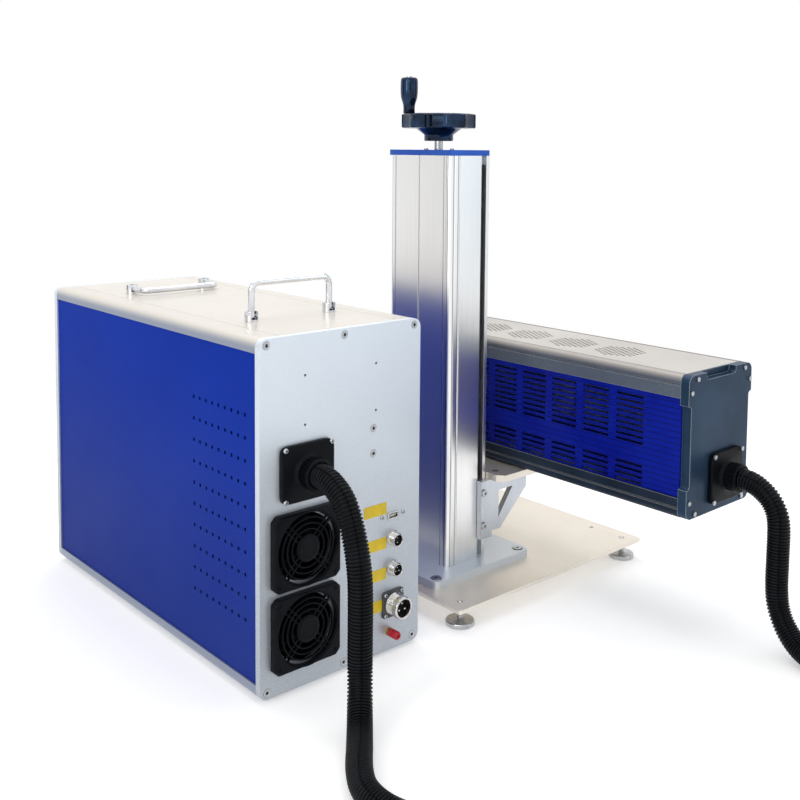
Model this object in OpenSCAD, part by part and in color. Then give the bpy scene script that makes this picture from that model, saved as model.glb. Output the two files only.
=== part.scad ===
// Laser marking machine: a power and control cabinet, and a stand whose column lifts a laser arm.
// Millimetres. The floor is z = 0, the rear with the sockets faces +Y, the cabinet stands on the +X side.

/* [Cabinet] */
// Width of the cabinet
cab_w = 230; // [215:1:300]
// Length of the cabinet, front to rear
cab_d = 525; // [480:1:700]
// Height of the cabinet's box
cab_h = 396; // [370:1:480]
// Radius of the cabinet's long edges
cab_r = 10; // [6:0.5:14]
// Height of the rubber pads under the cabinet
pad_h = 4; // [2:0.5:12]
// Diameter of the rubber pads
pad_d = 30; // [16:1:40]
// Distance of the pads from the cabinet's edges
pad_in = 50; // [38:1:70]
// Thickness of the front and rear plates
plate_t = 3; // [2:0.5:5]
// Depth of the rim behind the front and rear plates
rim_d = 5; // [3:0.5:8]
// Width of the top leg of a corner rail
rail_w = 29; // [24:1:36]
// Height of the side leg of a corner rail
rail_h = 16; // [14:1:22]
// Width of the solid block in a corner rail
rail_block = 19; // [17:1:22]
// Thickness of a corner rail's leg
rail_t = 6; // [5:0.5:8]
// Width of the ledge that carries a panel
ledge_w = 7; // [4:1:10]
// Thickness of the top and bottom panels
panel_t = 3; // [2:0.5:4]
// Thickness of the blue side panels
side_t = 1.5; // [1:0.5:2.5]
// Depth of the side panels below the rails
side_in = 2; // [1:0.5:4]
// Depth of the groove that holds a side panel
side_slot = 8; // [5:0.5:10]

/* [Side vents] */
// Rows of vent holes
vent_rows = 10; // [4:1:12]
// Holes in a row
vent_cols = 9; // [4:1:12]
// Diameter of a vent hole
vent_d = 4.5; // [3:0.5:6]
// Distance between holes in a row
vent_dx = 13.5; // [9:0.5:16]
// Distance between rows
vent_dz = 25.4; // [15:0.2:28]
// Distance of the last hole from the rear plate
vent_rear = 31; // [26:1:60]
// Height of the lowest row above the cabinet's bottom
vent_low = 81; // [40:1:100]

/* [Handles] */
// Distance between the two legs of a handle
handle_pitch = 113; // [90:1:130]
// Diameter of a handle's rod
handle_rod = 8; // [6:0.5:10]
// Height of the bar above the pivot
handle_rise = 38; // [30:1:50]
// Radius of the handle's bends
handle_bend = 10; // [8:0.5:14]
// Distance of the rear handle from the rear plate
handle_rear_y = 104; // [80:1:150]
// Distance between the two handles
handle_gap_y = 298; // [200:1:330]
// Diameter of a handle socket
socket_d = 16.5; // [15:0.5:20]
// Height of a handle socket
socket_h = 12; // [11:0.5:16]

/* [Rear connections] */
// Width of a fan cover
cover_w = 90; // [84:1:96]
// Height of a fan cover
cover_h = 85; // [82:1:88]
// Depth of a fan cover
cover_d = 9; // [6:0.5:14]
// Side of a fan's frame
fan_w = 80; // [80:1:80]
// Thickness of a fan
fan_t = 25; // [20:1:32]
// Distance of the fans' centre from the cabinet's middle
fan_x = 56; // [50:1:62]
// Height of the lower fan above the cabinet's bottom
fan_z = 67.5; // [62:0.5:75]
// Distance between the fans
fan_pitch = 91.5; // [89:0.5:100]
// Width of a hose flange
flange_w = 71; // [64:1:76]
// Height of a hose flange
flange_h = 64; // [60:1:72]
// Thickness of a hose flange
flange_t = 6; // [4:0.5:8]
// Height of the hose above the cabinet's bottom
gland_z = 244; // [236:1:300]
// Distance of the hose from the cabinet's middle
gland_x = 54; // [46:1:60]
// Length of the collar that holds the hose
collar_l = 20; // [14:1:30]
// Distance of the sockets' column from the cabinet's middle
port_x = 73; // [68:1:80]
// Height of the data socket
usb_z = 164; // [158:1:175]
// Height of the first round socket
round_z = 136; // [130:1:145]
// Distance between the round sockets
round_pitch = 36; // [28:1:40]
// Diameter of a round socket
round_d = 19; // [15:0.5:22]
// Height of the power socket
power_z = 57; // [50:1:70]
// Side of the power socket's flange
power_w = 32; // [28:1:34]
// Height of the earth terminal
earth_z = 23; // [20:1:30]
// Width of a label plate
label_w = 34; // [20:1:40]
// Height of a label plate
label_h = 14; // [8:1:16]

/* [Front controls] */
// Distance of the front controls below the cabinet's top
control_drop = 66; // [46:1:116]
// Distance between the front controls
control_pitch = 55; // [45:1:70]
// Diameter of the stop button's head
stop_d = 40; // [30:1:50]
// Distance of the stop button's face from the front plate
stop_out = 29; // [28:1:40]

/* [Stand] */
// Gap between the cabinet and the base plate
stand_gap = 52; // [20:1:90]
// Width of the base plate
base_w = 376; // [340:1:450]
// Length of the base plate
base_l = 500; // [460:1:560]
// Thickness of the base plate
base_t = 5; // [4:0.5:10]
// Height of the base plate's top above the floor
base_top = 29; // [26:1:45]
// Distance that the base plate reaches behind the cabinet
base_rear = 21; // [0:1:60]
// Diameter of a levelling foot
foot_d = 37; // [30:1:45]
// Thickness of a levelling foot's disc
foot_t = 8; // [6:0.5:12]
// Distance of the feet from the plate's edges
foot_in = 20; // [19:1:30]
// Distance of the column from the plate's cabinet side
column_side = 99; // [95:1:120]
// Distance of the column from the plate's rear edge
column_rear = 151; // [130:1:200]
// Width of the column's foot plate
colfoot_w = 182; // [176:1:200]
// Length of the column's foot plate
colfoot_l = 176; // [170:1:200]
// Thickness of the column's foot plate
colfoot_t = 10; // [8:1:16]
// Distance between the middles of foot plate and column
colfoot_off = 10; // [6:1:14]

/* [Column] */
// Width of the column, front cover included
col_w = 72.5; // [70:0.5:80]
// Length of the column's section
col_l = 122; // [118:1:140]
// Height of the column between foot and top plate
col_h = 554; // [540:1:700]
// Depth of the extrusion behind the slot
profile_w = 57.5; // [55:0.5:60]
// Width of the slot for the carriage
slot_w = 9.5; // [9:0.5:11]
// Wall of the extrusion
profile_wall = 8; // [6:0.5:9]
// Thickness of the top plate
top_t = 7.5; // [5:0.5:12]
// Diameter of the lead screw
screw_d = 12; // [10:1:14]
// Diameter of the guide rods
rod_d = 16; // [12:1:18]
// Distance between the guide rods
rod_pitch = 68; // [62:1:72]
// Diameter of the handwheel
wheel_d = 104; // [90:1:120]
// Length of the revolving grip
grip_l = 47; // [35:1:60]
// Diameter of the revolving grip
grip_d = 22; // [18:1:24]

/* [Carriage] */
// Height of the carriage
carriage_h = 81; // [70:1:100]
// Height of the shelf's top above the floor, at rest
shelf_z = 156; // [150:1:170]
// Thickness of the shelf
shelf_t = 9; // [6:1:12]
// Width of the shelf, away from the column
shelf_w = 182; // [170:1:200]
// Length of the shelf
shelf_l = 180; // [170:1:220]
// Reach of the bracket from the column's middle
bracket_reach = 112; // [100:1:130]
// Thickness of the bracket's plates
bracket_t = 8; // [6:1:9]

/* [Laser arm] */
// Width of the laser arm
arm_w = 140; // [130:1:160]
// Height of the laser arm
arm_h = 177; // [165:1:200]
// Length of the laser arm
arm_l = 550; // [500:1:700]
// Distance of the arm's middle from the column's middle
arm_x = 154; // [150:1:170]
// Distance that the arm's rear stands behind the cabinet
arm_rear = 220; // [180:1:260]
// Width of an arm rail
arm_rail_w = 10; // [9.5:0.5:14]
// Height of an upper arm rail
arm_rail_h = 29; // [26:1:34]
// Height of a lower arm rail
arm_foot_h = 25; // [24:1:30]
// Radius of the arm's long edges
arm_r = 8; // [4:0.5:9]
// Thickness of the arm's end covers
cap_t = 12; // [10:1:18]
// Depth of the recesses in the rear cover's edges
cap_notch = 6; // [4:0.5:8]
// Slot columns in a side
slot_cols = 8; // [5:1:9]
// Length of a side slot
slot_l = 41.5; // [30:0.5:45]
// Distance of the last slot column from the arm's rear
slot_rear = 86.5; // [40:0.5:90]
// Distance between slot columns
slot_dx = 53; // [48:1:60]
// Height of a side slot
slot_h = 3.4; // [2:0.2:5]
// Distance between slot rows
slot_dz = 7.3; // [6:0.1:7.4]
// Slot rows in the upper group
slot_up = 9; // [5:1:9]
// Slot rows in the lower group
slot_down = 4; // [2:1:4]
// Number of vent fields in the top
field_count = 4; // [2:1:6]
// Distance between vent fields
field_pitch = 80; // [70:1:110]
// Distance of the last vent field from the arm's rear
field_rear = 149; // [60:1:180]
// Width of the scan head
head_w = 96; // [90:1:110]
// Length of the scan head
head_l = 122; // [110:1:140]
// Height of the scan head
head_h = 104; // [96:1:120]
// Clear aperture of the lens
lens_d = 46; // [40:1:60]

/* [Hose] */
// Outer diameter of the ribbed hose
hose_d = 27; // [25:0.5:30]
// Bore of the ribbed hose
hose_bore = 20; // [17:0.5:21]
// Depth of the ribs
rib_depth = 1.8; // [1:0.1:2.4]
// Number of ribs
rib_count = 196; // [60:2:200]

/* [Hidden] */
control_z = cab_h - control_drop;
$fn = 48;

// Clearances
seam = 0.5;
seat_gap = 0.3;
turn_gap = 0.05;
cut = 1;

// Small hardware
m3_r = 1.5;
m3_head_r = 2.9;
m3_head_h = 2;
m5_r = 2.5;
m5_head_r = 5;
m5_head_h = 2.6;
m5_l = 16;
m6_r = 3;
m8_r = 4;
bolt_head_r = 6.5;
bolt_head_h = 5;
socket_key_r = 2.2;
nut_r = 7.5;
nut_h = 5;

// Plan of the whole machine
plan_w = cab_w + stand_gap + base_w;
gland_out = flange_t + collar_l;
cab_x = plan_w / 2 - cab_w / 2;
cab_rear = (cab_d + stop_out - arm_rear - gland_out) / 2;
cab_y = cab_rear - cab_d / 2;
cab_mid_z = pad_h + cab_h / 2;
cab_top_z = pad_h + cab_h;
base_x = base_w / 2 - plan_w / 2;
base_y = cab_rear + base_rear - base_l / 2;
column_x = base_x + base_w / 2 - column_side;
column_y = base_y + base_l / 2 - column_rear;
arm_mid_x = column_x - arm_x;
arm_rear_y = cab_rear + arm_rear;
column_z = base_top + colfoot_t;
column_top_z = column_z + col_h;

module at_cabinet() { translate([cab_x, cab_y, 0]) children(); }
module at_rear(x, z) { translate([cab_x + x, cab_rear, pad_h + z]) children(); }
module at_front(x, z) { translate([cab_x + x, cab_rear - cab_d, pad_h + z]) children(); }
module at_base() { translate([base_x, base_y, 0]) children(); }
module at_column() { translate([column_x, column_y, 0]) children(); }
module at_arm() { translate([arm_mid_x, arm_rear_y, shelf_z]) children(); }

// Helpers: a flat outline stood up across Y or across X, and an axis turned to face rear or front
module wall_y(y, t) { translate([0, y + t, 0]) rotate([90, 0, 0]) linear_extrude(t) children(); }
module wall_x(x, t) { translate([x, 0, 0]) rotate([90, 0, 90]) linear_extrude(t) children(); }
module face_rear() { rotate([-90, 0, 0]) children(); }
module face_front() { rotate([90, 0, 0]) children(); }
module flip(sx, sz) { mirror([sx < 0 ? 1 : 0, 0, 0]) mirror([0, 0, sz < 0 ? 1 : 0]) children(); }
module flip2(sx, sy) { mirror([sx < 0 ? 1 : 0, 0]) mirror([0, sy < 0 ? 1 : 0]) children(); }

// Rectangle about the origin with round corners
module rounded(w, h, r) {
    square([w - 2 * r, h], center = true);
    square([w, h - 2 * r], center = true);
    for (sx = [-1, 1]) for (sy = [-1, 1])
        translate([sx * (w / 2 - r), sy * (h / 2 - r)]) circle(r);
}

// Rectangle about the origin with cut corners
module chamfered(w, h, c) {
    polygon([[w / 2, h / 2 - c], [w / 2 - c, h / 2], [c - w / 2, h / 2], [-w / 2, h / 2 - c],
        [-w / 2, c - h / 2], [c - w / 2, -h / 2], [w / 2 - c, -h / 2], [w / 2, c - h / 2]]);
}

// Block with its round outer corner at the origin, reaching to -w and -h
module corner_block(w, h, r) {
    translate([-w, -h]) square([w - r, h]);
    translate([-w, -h]) square([w, h - r]);
    intersection() {
        translate([-r, -r]) circle(r);
        translate([-r, -r]) square(r);
    }
}

// Screws stand on z = 0 with the shank going down; hole = 1 draws their clearance instead
module csk_screw(len, hole = 0) {
    grow = hole * turn_gap;
    translate([0, 0, -m5_head_h]) cylinder(h = m5_head_h, r1 = m5_r + grow, r2 = m5_head_r + grow);
    translate([0, 0, -len]) cylinder(h = len - m5_head_h + turn_gap, r = m5_r + grow);
}
module pan_screw(len) {
    cylinder(h = m3_head_h, r = m3_head_r);
    translate([0, 0, -len]) cylinder(h = len + turn_gap, r = m3_r);
}
module cap_bolt(r, head_r, head_h, len) {
    difference() {
        union() {
            cylinder(h = head_h, r = head_r);
            translate([0, 0, -len]) cylinder(h = len + turn_gap, r = r);
        }
        translate([0, 0, head_h / 2]) cylinder(h = head_h, r = socket_key_r, $fn = 6);
    }
}

// Cabinet case
rail_l = cab_d - 2 * (plate_t + rim_d);
screw_in_x = 9.5;
screw_in_z = 7.5;
rim_t = 3;

module rail_outline() {
    difference() {
        union() {
            corner_block(rail_block, rail_h, cab_r);
            translate([-rail_w, -rail_t]) square([rail_w - cab_r, rail_t]);
            translate([-rail_w - ledge_w, -rail_t]) square([ledge_w + seam, rail_t - panel_t]);
        }
        translate([-side_in - side_t - turn_gap, -rail_h - cut])
            square([side_t + 2 * turn_gap, side_slot + cut]);
        translate([-screw_in_x, -screw_in_z]) circle(m5_r + turn_gap);
    }
}
module cabinet_rails() {
    color("gainsboro") at_cabinet()
        for (sx = [-1, 1]) for (sz = [-1, 1])
            translate([sx * cab_w / 2, 0, cab_mid_z + sz * cab_h / 2])
                flip(sx, sz) wall_y(-rail_l / 2, rail_l) rail_outline();
}

lid_w = cab_w - 2 * rail_w - 2 * seam;
module each_handle_socket() {
    for (y = [handle_rear_y, handle_rear_y + handle_gap_y]) for (sx = [-1, 1])
        translate([sx * handle_pitch / 2, cab_d / 2 - y, cab_top_z]) children();
}
module cabinet_top() {
    color("linen") at_cabinet() difference() {
        translate([-lid_w / 2, -rail_l / 2, cab_top_z - panel_t]) cube([lid_w, rail_l, panel_t]);
        each_handle_socket() translate([0, 0, -panel_t - cut])
            cylinder(h = panel_t + 2 * cut, r = m5_r + turn_gap);
    }
}
module cabinet_bottom() {
    color("gainsboro") at_cabinet()
        translate([-lid_w / 2, -rail_l / 2, pad_h]) cube([lid_w, rail_l, panel_t]);
}
module cabinet_pads() {
    color("black") at_cabinet()
        for (sx = [-1, 1]) for (sy = [-1, 1])
            translate([sx * (cab_w / 2 - pad_in), sy * (cab_d / 2 - pad_in), 0])
                cylinder(h = pad_h, r = pad_d / 2);
}

side_h = cab_h - 2 * (rail_h - side_slot) - 2 * seam;
side_l = rail_l - 2 * seam;
module side_outline() {
    difference() {
        translate([-side_l / 2, cab_mid_z - side_h / 2]) square([side_l, side_h]);
        for (c = [0 : vent_cols - 1]) for (r = [0 : vent_rows - 1])
            translate([cab_d / 2 - vent_rear - c * vent_dx, pad_h + vent_low + r * vent_dz])
                circle(vent_d / 2);
    }
}
module side_panels() {
    color("mediumblue") at_cabinet() {
        wall_x(cab_w / 2 - side_in - side_t, side_t) side_outline();
        wall_x(side_in - cab_w / 2, side_t) side_outline();
    }
}

// Screws of the front and rear plates, three above and three below
module each_plate_screw() {
    for (sx = [-1, 0, 1]) for (sz = [-1, 1])
        translate([sx * (cab_w / 2 - screw_in_x), sz * (cab_h / 2 - screw_in_z)]) children();
}
module plate_blank() {
    wall_y(0, plate_t) rounded(cab_w, cab_h, cab_r);
    wall_y(-rim_d, rim_d) difference() {
        rounded(cab_w, cab_h, cab_r);
        rounded(cab_w - 2 * rim_t, cab_h - 2 * rim_t, cab_r - rim_t);
    }
}

// Rear plate and what is fixed to it
bore_fan = 76;
bore_hose = 19;
card_screw_x = -43;
card_screw_z = [244, 274];
tag_hole = 1.5;
tag_x = [-46, 55];
tag_z = [295, 350];
usb_cut = [13.6, 6.4];
usb_screw = 16.5;
round_thread = 14;
power_thread = 20;
power_screw = 12.5;
earth_r = 2;
gland_screw_x = 31;
gland_screw_z = 28.5;

module each_port_screw() {
    for (sx = [-1, 1]) for (sz = [-1, 1]) {
        translate([gland_x + sx * gland_screw_x, gland_z + sz * gland_screw_z]) children();
        translate([-port_x + sx * power_screw, power_z + sz * power_screw]) children();
    }
    for (sx = [-1, 1]) translate([-port_x + sx * usb_screw, usb_z]) children();
}
module each_round_socket() {
    for (i = [0, 1]) translate([-port_x, round_z - i * round_pitch]) children();
}
module each_fan() {
    for (i = [0, 1]) translate([fan_x, fan_z + i * fan_pitch]) children();
}
module rear_plate() {
    color("silver") translate([cab_x, cab_rear - plate_t, cab_mid_z]) difference() {
        plate_blank();
        each_plate_screw_up() csk_screw(m5_l, 1);
        wall_y(-cut, plate_t + 2 * cut) translate([0, -cab_h / 2]) {
            each_fan() circle(bore_fan / 2);
            translate([gland_x, gland_z]) circle(bore_hose / 2);
            each_port_screw() circle(m3_r + turn_gap);
            each_round_socket() circle(round_thread / 2 + turn_gap);
            translate([-port_x, power_z]) circle(power_thread / 2 + turn_gap);
            translate([-port_x, usb_z]) square(usb_cut, center = true);
            translate([-port_x + earth_shift, earth_z]) circle(earth_r + turn_gap);
            for (x = tag_x) for (z = tag_z) translate([x, z]) circle(tag_hole);
        }
        for (z = card_screw_z) translate([card_screw_x, plate_t, z - cab_h / 2])
            face_rear() csk_screw(m5_l, 1);
    }
}
earth_shift = 5;
module each_plate_screw_up() {
    for (sx = [-1, 0, 1]) for (sz = [-1, 1])
        translate([sx * (cab_w / 2 - screw_in_x), plate_t, sz * (cab_h / 2 - screw_in_z)])
            face_rear() children();
}
module front_plate() {
    color("silver") translate([cab_x, cab_rear - cab_d + plate_t, cab_mid_z]) mirror([0, 1, 0]) difference() {
        plate_blank();
        each_plate_screw_up() csk_screw(m5_l, 1);
        wall_y(-cut, plate_t + 2 * cut) translate([0, control_z - cab_h / 2]) {
            circle(stop_thread / 2 + turn_gap);
            translate([control_pitch, 0]) circle(key_thread / 2 + turn_gap);
            translate([-control_pitch, 0]) circle(power_thread_d / 2 + turn_gap);
        }
    }
}
module cabinet_screws() {
    color("silver") {
        translate([cab_x, cab_rear - plate_t, cab_mid_z]) each_plate_screw_up() csk_screw(m5_l);
        translate([cab_x, cab_rear - cab_d + plate_t, cab_mid_z]) mirror([0, 1, 0])
            each_plate_screw_up() csk_screw(m5_l);
        for (z = card_screw_z) at_rear(card_screw_x, z) face_rear() csk_screw(m5_l);
        for (sx = [-1, 1]) for (sz = [-1, 1]) {
            at_rear(gland_x + sx * gland_screw_x, gland_z + sz * gland_screw_z)
                translate([0, flange_t, 0]) face_rear() pan_screw(flange_t + port_screw_l);
            at_rear(-port_x + sx * power_screw, power_z + sz * power_screw)
                translate([0, plate_t, 0]) face_rear() pan_screw(plate_t + port_screw_l);
        }
        for (sx = [-1, 1]) at_rear(-port_x + sx * usb_screw, usb_z) face_rear() pan_screw(port_screw_l);
    }
}
usb_plate_t = 1.5;
port_screw_l = 8;

// Folding handles: a socket with a slot open to the rear and a cross pin, and a bent rod
pivot_h = 7;
pin_r = 1.5;
slot_half = handle_rod / 2 + seat_gap;
slot_floor = pivot_h - handle_rod / 2 - seat_gap;
stud_nut_h = 4;
module handle_socket() {
    difference() {
        cylinder(h = socket_h, r = socket_d / 2);
        translate([-slot_half, -slot_half, slot_floor]) cube([2 * slot_half, socket_d, socket_h]);
    }
    translate([-socket_d / 2 + cut, 0, pivot_h]) rotate([0, 90, 0])
        cylinder(h = socket_d - 2 * cut, r = pin_r);
    translate([0, 0, -panel_t - stud_nut_h]) cylinder(h = panel_t + stud_nut_h + turn_gap, r = m5_r);
    translate([0, 0, -panel_t - stud_nut_h]) cylinder(h = stud_nut_h, r = m5_head_r);
}
module handle_sockets() { color("silver") at_cabinet() each_handle_socket() handle_socket(); }
module bail() {
    leg = handle_rise - handle_bend;
    difference() {
        for (sx = [-1, 1]) translate([sx * handle_pitch / 2, 0, 0]) {
            cylinder(h = leg, r = handle_rod / 2);
            sphere(handle_rod / 2);
        }
        translate([-handle_pitch, 0, 0]) rotate([0, 90, 0])
            cylinder(h = 2 * handle_pitch, r = pin_r + turn_gap);
    }
    for (sx = [-1, 1]) translate([sx * (handle_pitch / 2 - handle_bend), 0, leg])
        mirror([sx < 0 ? 1 : 0, 0, 0]) rotate([90, 0, 0]) rotate_extrude(angle = 90)
            translate([handle_bend, 0]) circle(handle_rod / 2);
    translate([handle_bend - handle_pitch / 2, 0, handle_rise]) rotate([0, 90, 0])
        cylinder(h = handle_pitch - 2 * handle_bend, r = handle_rod / 2);
}
module handle_rear() {
    color("silver") translate([cab_x, cab_rear - handle_rear_y, cab_top_z + pivot_h]) bail();
}
module handle_front() {
    color("silver") translate([cab_x, cab_rear - handle_rear_y - handle_gap_y, cab_top_z + pivot_h])
        rotate([-90, 0, 0]) bail();
}

// Fans behind the rear plate, their rotors and their outer covers
hub_r = 17;
rotor_r = 36;
rotor_t = 17;
hub_seat = 4;
blade_count = 7;
blade_t = 1.6;
blade_turn = 38;
motor_pin_r = 1.5;
motor_pin_l = 12;
strut_w = 5;
module fan_frame() {
    difference() {
        translate([0, 0, -fan_t]) linear_extrude(fan_t) rounded(fan_w, fan_w, cut * 3);
        translate([0, 0, -fan_t - cut]) cylinder(h = fan_t + 2 * cut, r = bore_fan / 2);
    }
    translate([0, 0, -fan_t]) cylinder(h = hub_seat, r = hub_r);
    for (a = [0 : 90 : 270]) rotate([0, 0, a]) translate([hub_r - cut, -strut_w / 2, -fan_t])
        cube([bore_fan / 2 - hub_r + 2 * cut, strut_w, hub_seat]);
    translate([0, 0, hub_seat - fan_t - turn_gap]) cylinder(h = motor_pin_l, r = motor_pin_r);
}
module rotor() {
    low = hub_seat + seam - fan_t;
    difference() {
        union() {
            translate([0, 0, low]) cylinder(h = rotor_t, r = hub_r);
            for (i = [0 : blade_count - 1]) rotate([0, 0, i * 360 / blade_count]) intersection() {
                translate([0, 0, low]) cylinder(h = rotor_t, r = rotor_r);
                translate([hub_r - cut, 0, low + rotor_t / 2]) rotate([blade_turn, 0, 0])
                    translate([0, -blade_t / 2, -rotor_t / 2]) cube([rotor_r, blade_t, rotor_t]);
            }
        }
        translate([0, 0, low - cut]) cylinder(h = motor_pin_l + cut, r = motor_pin_r + turn_gap);
    }
}
module at_fan(i) { at_rear(fan_x, fan_z + i * fan_pitch) translate([0, -plate_t, 0]) face_rear() children(); }
module fan_frames() { color("dimgray") for (i = [0, 1]) at_fan(i) fan_frame(); }
module fan_rotor_upper() { color("dimgray") at_fan(1) rotor(); }
module fan_rotor_lower() { color("dimgray") at_fan(0) rotor(); }

grille_ring_r = [21.5, 27.9, 34.3];
grille_open_r = 40.7;
grille_hub_r = 15.5;
grille_bar = 1.5;
grille_t = 2.5;
spoke_count = 6;
spoke_half = 2.6;
cover_wall = 2.5;
cover_chamfer = 6;
module grille_outline() {
    difference() {
        chamfered(cover_w, cover_h, cover_chamfer);
        circle(grille_open_r);
    }
    circle(grille_hub_r);
    for (r = grille_ring_r) difference() {
        circle(r + grille_bar / 2);
        circle(r - grille_bar / 2);
    }
    for (i = [0 : spoke_count - 1]) rotate(i * 360 / spoke_count) for (s = [-1, 1])
        translate([grille_hub_r - cut, s * spoke_half - grille_bar / 2])
            square([grille_open_r - grille_hub_r + 2 * cut, grille_bar]);
}
module fan_covers() {
    color("black") at_rear(0, 0) each_fan_up() {
        wall_y(cover_d - grille_t, grille_t) grille_outline();
        wall_y(0, cover_d - grille_t + turn_gap) difference() {
            chamfered(cover_w, cover_h, cover_chamfer);
            chamfered(cover_w - 2 * cover_wall, cover_h - 2 * cover_wall, cover_chamfer - cut);
        }
    }
}
module each_fan_up() { for (i = [0, 1]) translate([fan_x, 0, fan_z + i * fan_pitch]) children(); }

// Flange with a cone and a collar round the hose, opening along +Z
collar_wall = 4;
cone_r = 25;
cone_l = 5;
flange_r = 5;
collar_in = hose_d / 2 + seat_gap;
module gland() {
    difference() {
        union() {
            linear_extrude(flange_t) rounded(flange_w, flange_h, flange_r);
            translate([0, 0, flange_t - turn_gap])
                cylinder(h = cone_l, r1 = cone_r, r2 = collar_in + collar_wall);
            translate([0, 0, flange_t]) cylinder(h = collar_l, r = collar_in + collar_wall);
        }
        translate([0, 0, -cut]) cylinder(h = flange_t + 2 * cut, r = bore_hose / 2);
        translate([0, 0, flange_t]) cylinder(h = collar_l + cut, r = collar_in);
        for (sx = [-1, 1]) for (sy = [-1, 1]) translate([sx * gland_screw_x, sy * gland_screw_z, -cut])
            cylinder(h = flange_t + 2 * cut, r = m3_r + turn_gap);
    }
}
module cabinet_gland() { color("black") at_rear(gland_x, gland_z) face_rear() gland(); }

// Sockets in the rear plate
usb_size = [17, 9];
usb_mouth = [12.2, 4.8];
usb_l = 18;
module usb_socket() {
    at_rear(-port_x, usb_z) difference() {
        union() {
            wall_y(0, usb_plate_t) square(usb_size, center = true);
            wall_y(-usb_l, usb_l + turn_gap)
                square([usb_cut[0] - 2 * turn_gap, usb_cut[1] - 2 * turn_gap], center = true);
        }
        wall_y(cut - usb_l, usb_l + usb_plate_t) square(usb_mouth, center = true);
    }
}
round_out = 11;
round_back = 14;
shell_t = 1.6;
contact_r = 0.9;
contact_l = 3;
insert_t = 3;
module pin_shell(r, out, back_r, back_l, pins, pin_ring) {
    // A metal shell with a deep mouth, an insert on its floor and contact pins
    difference() {
        union() {
            cylinder(h = out, r = r);
            translate([0, 0, -back_l]) cylinder(h = back_l + turn_gap, r = back_r);
        }
        translate([0, 0, insert_t]) cylinder(h = out, r = r - shell_t);
    }
    for (i = [0 : pins - 1]) rotate([0, 0, 90 + i * 360 / pins])
        translate([pin_ring, 0, insert_t - turn_gap]) cylinder(h = contact_l, r = contact_r);
}
contact_ring = 3.4;
module data_sockets() {
    color("silver") {
        usb_socket();
        for (i = [0, 1]) at_rear(-port_x, round_z - i * round_pitch) face_rear()
            pin_shell(round_d / 2, round_out, round_thread / 2, round_back, 2 + i, contact_ring);
    }
}
power_out = 22;
power_r = 13.5;
power_ring = 5;
module power_socket() {
    color("silver") at_rear(-port_x, power_z) face_rear() {
        pin_shell(power_r, power_out, power_thread / 2, round_back, 3, power_ring);
        difference() {
            linear_extrude(plate_t) rounded(power_w, power_w, 2 * cut);
            translate([0, 0, -cut]) cylinder(h = plate_t + 2 * cut, r = power_r - cut);
            for (sx = [-1, 1]) for (sy = [-1, 1]) translate([sx * power_screw, sy * power_screw, -cut])
                cylinder(h = plate_t + 2 * cut, r = m3_r + turn_gap);
        }
    }
}
earth_flange_r = 5;
earth_flange_t = 3;
earth_cap_l = 14;
earth_stud_l = 15;
earth_cap_r = 5;
module earth_post() {
    color("gold") at_rear(earth_shift - port_x, earth_z) face_rear() {
        cylinder(h = earth_flange_t, r = earth_flange_r);
        translate([0, 0, -round_back]) cylinder(h = round_back + earth_stud_l, r = earth_r);
    }
}
module earth_cap() {
    color("crimson") at_rear(earth_shift - port_x, earth_z) face_rear()
        translate([0, 0, earth_flange_t + seat_gap]) difference() {
            cylinder(h = earth_cap_l, r = earth_cap_r);
            translate([0, 0, -cut]) cylinder(h = earth_stud_l - earth_flange_t + cut, r = earth_r + turn_gap);
        }
}
label_t = 0.4;
label_x = -46;
power_label_x = -40;
label_z = [175, 133, 96, 58];
module port_labels() {
    color("gold") for (i = [0 : 3]) at_rear(i == 3 ? power_label_x : label_x, label_z[i])
        wall_y(0, label_t) square([label_w, label_h], center = true);
}

// Inside the cabinet
floor_in = pad_h + panel_t;
supply_size = [130, 220, 60];
supply_y = -120;
driver_size = [130, 180, 80];
driver_y = 100;
module power_supply() {
    color("silver") at_cabinet() translate([-supply_size[0] / 2, supply_y - supply_size[1] / 2, floor_in])
        cube(supply_size);
}
driver_x = -2;
module laser_driver() {
    color("dimgray") at_cabinet()
        translate([driver_x - driver_size[0] / 2, driver_y - driver_size[1] / 2, floor_in]) cube(driver_size);
}
card_l = 160;
card_h = 110;
card_t = 1.6;
card_foot = [14, 14, 50];
chip_size = [3, 30, 30];
module control_card() {
    color("darkgreen") at_rear(card_screw_x, (card_screw_z[0] + card_screw_z[1]) / 2) difference() {
        union() {
            translate([-card_foot[0] / 2, -plate_t - card_foot[1], -card_foot[2] / 2]) cube(card_foot);
            translate([card_foot[0] / 2, -plate_t - card_l, -card_h / 2])
                cube([card_t, card_l - cut, card_h]);
            for (i = [1 : 3]) translate([card_foot[0] / 2 - chip_size[0],
                i * chip_size[1] - plate_t - card_l, -chip_size[2] / 2])
                cube([chip_size[0] + turn_gap, chip_size[1] / 2, chip_size[2]]);
        }
        for (s = [-1, 1]) translate([0, 0, s * (card_screw_z[1] - card_screw_z[0]) / 2])
            face_rear() csk_screw(m5_l, 1);
    }
}

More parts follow.
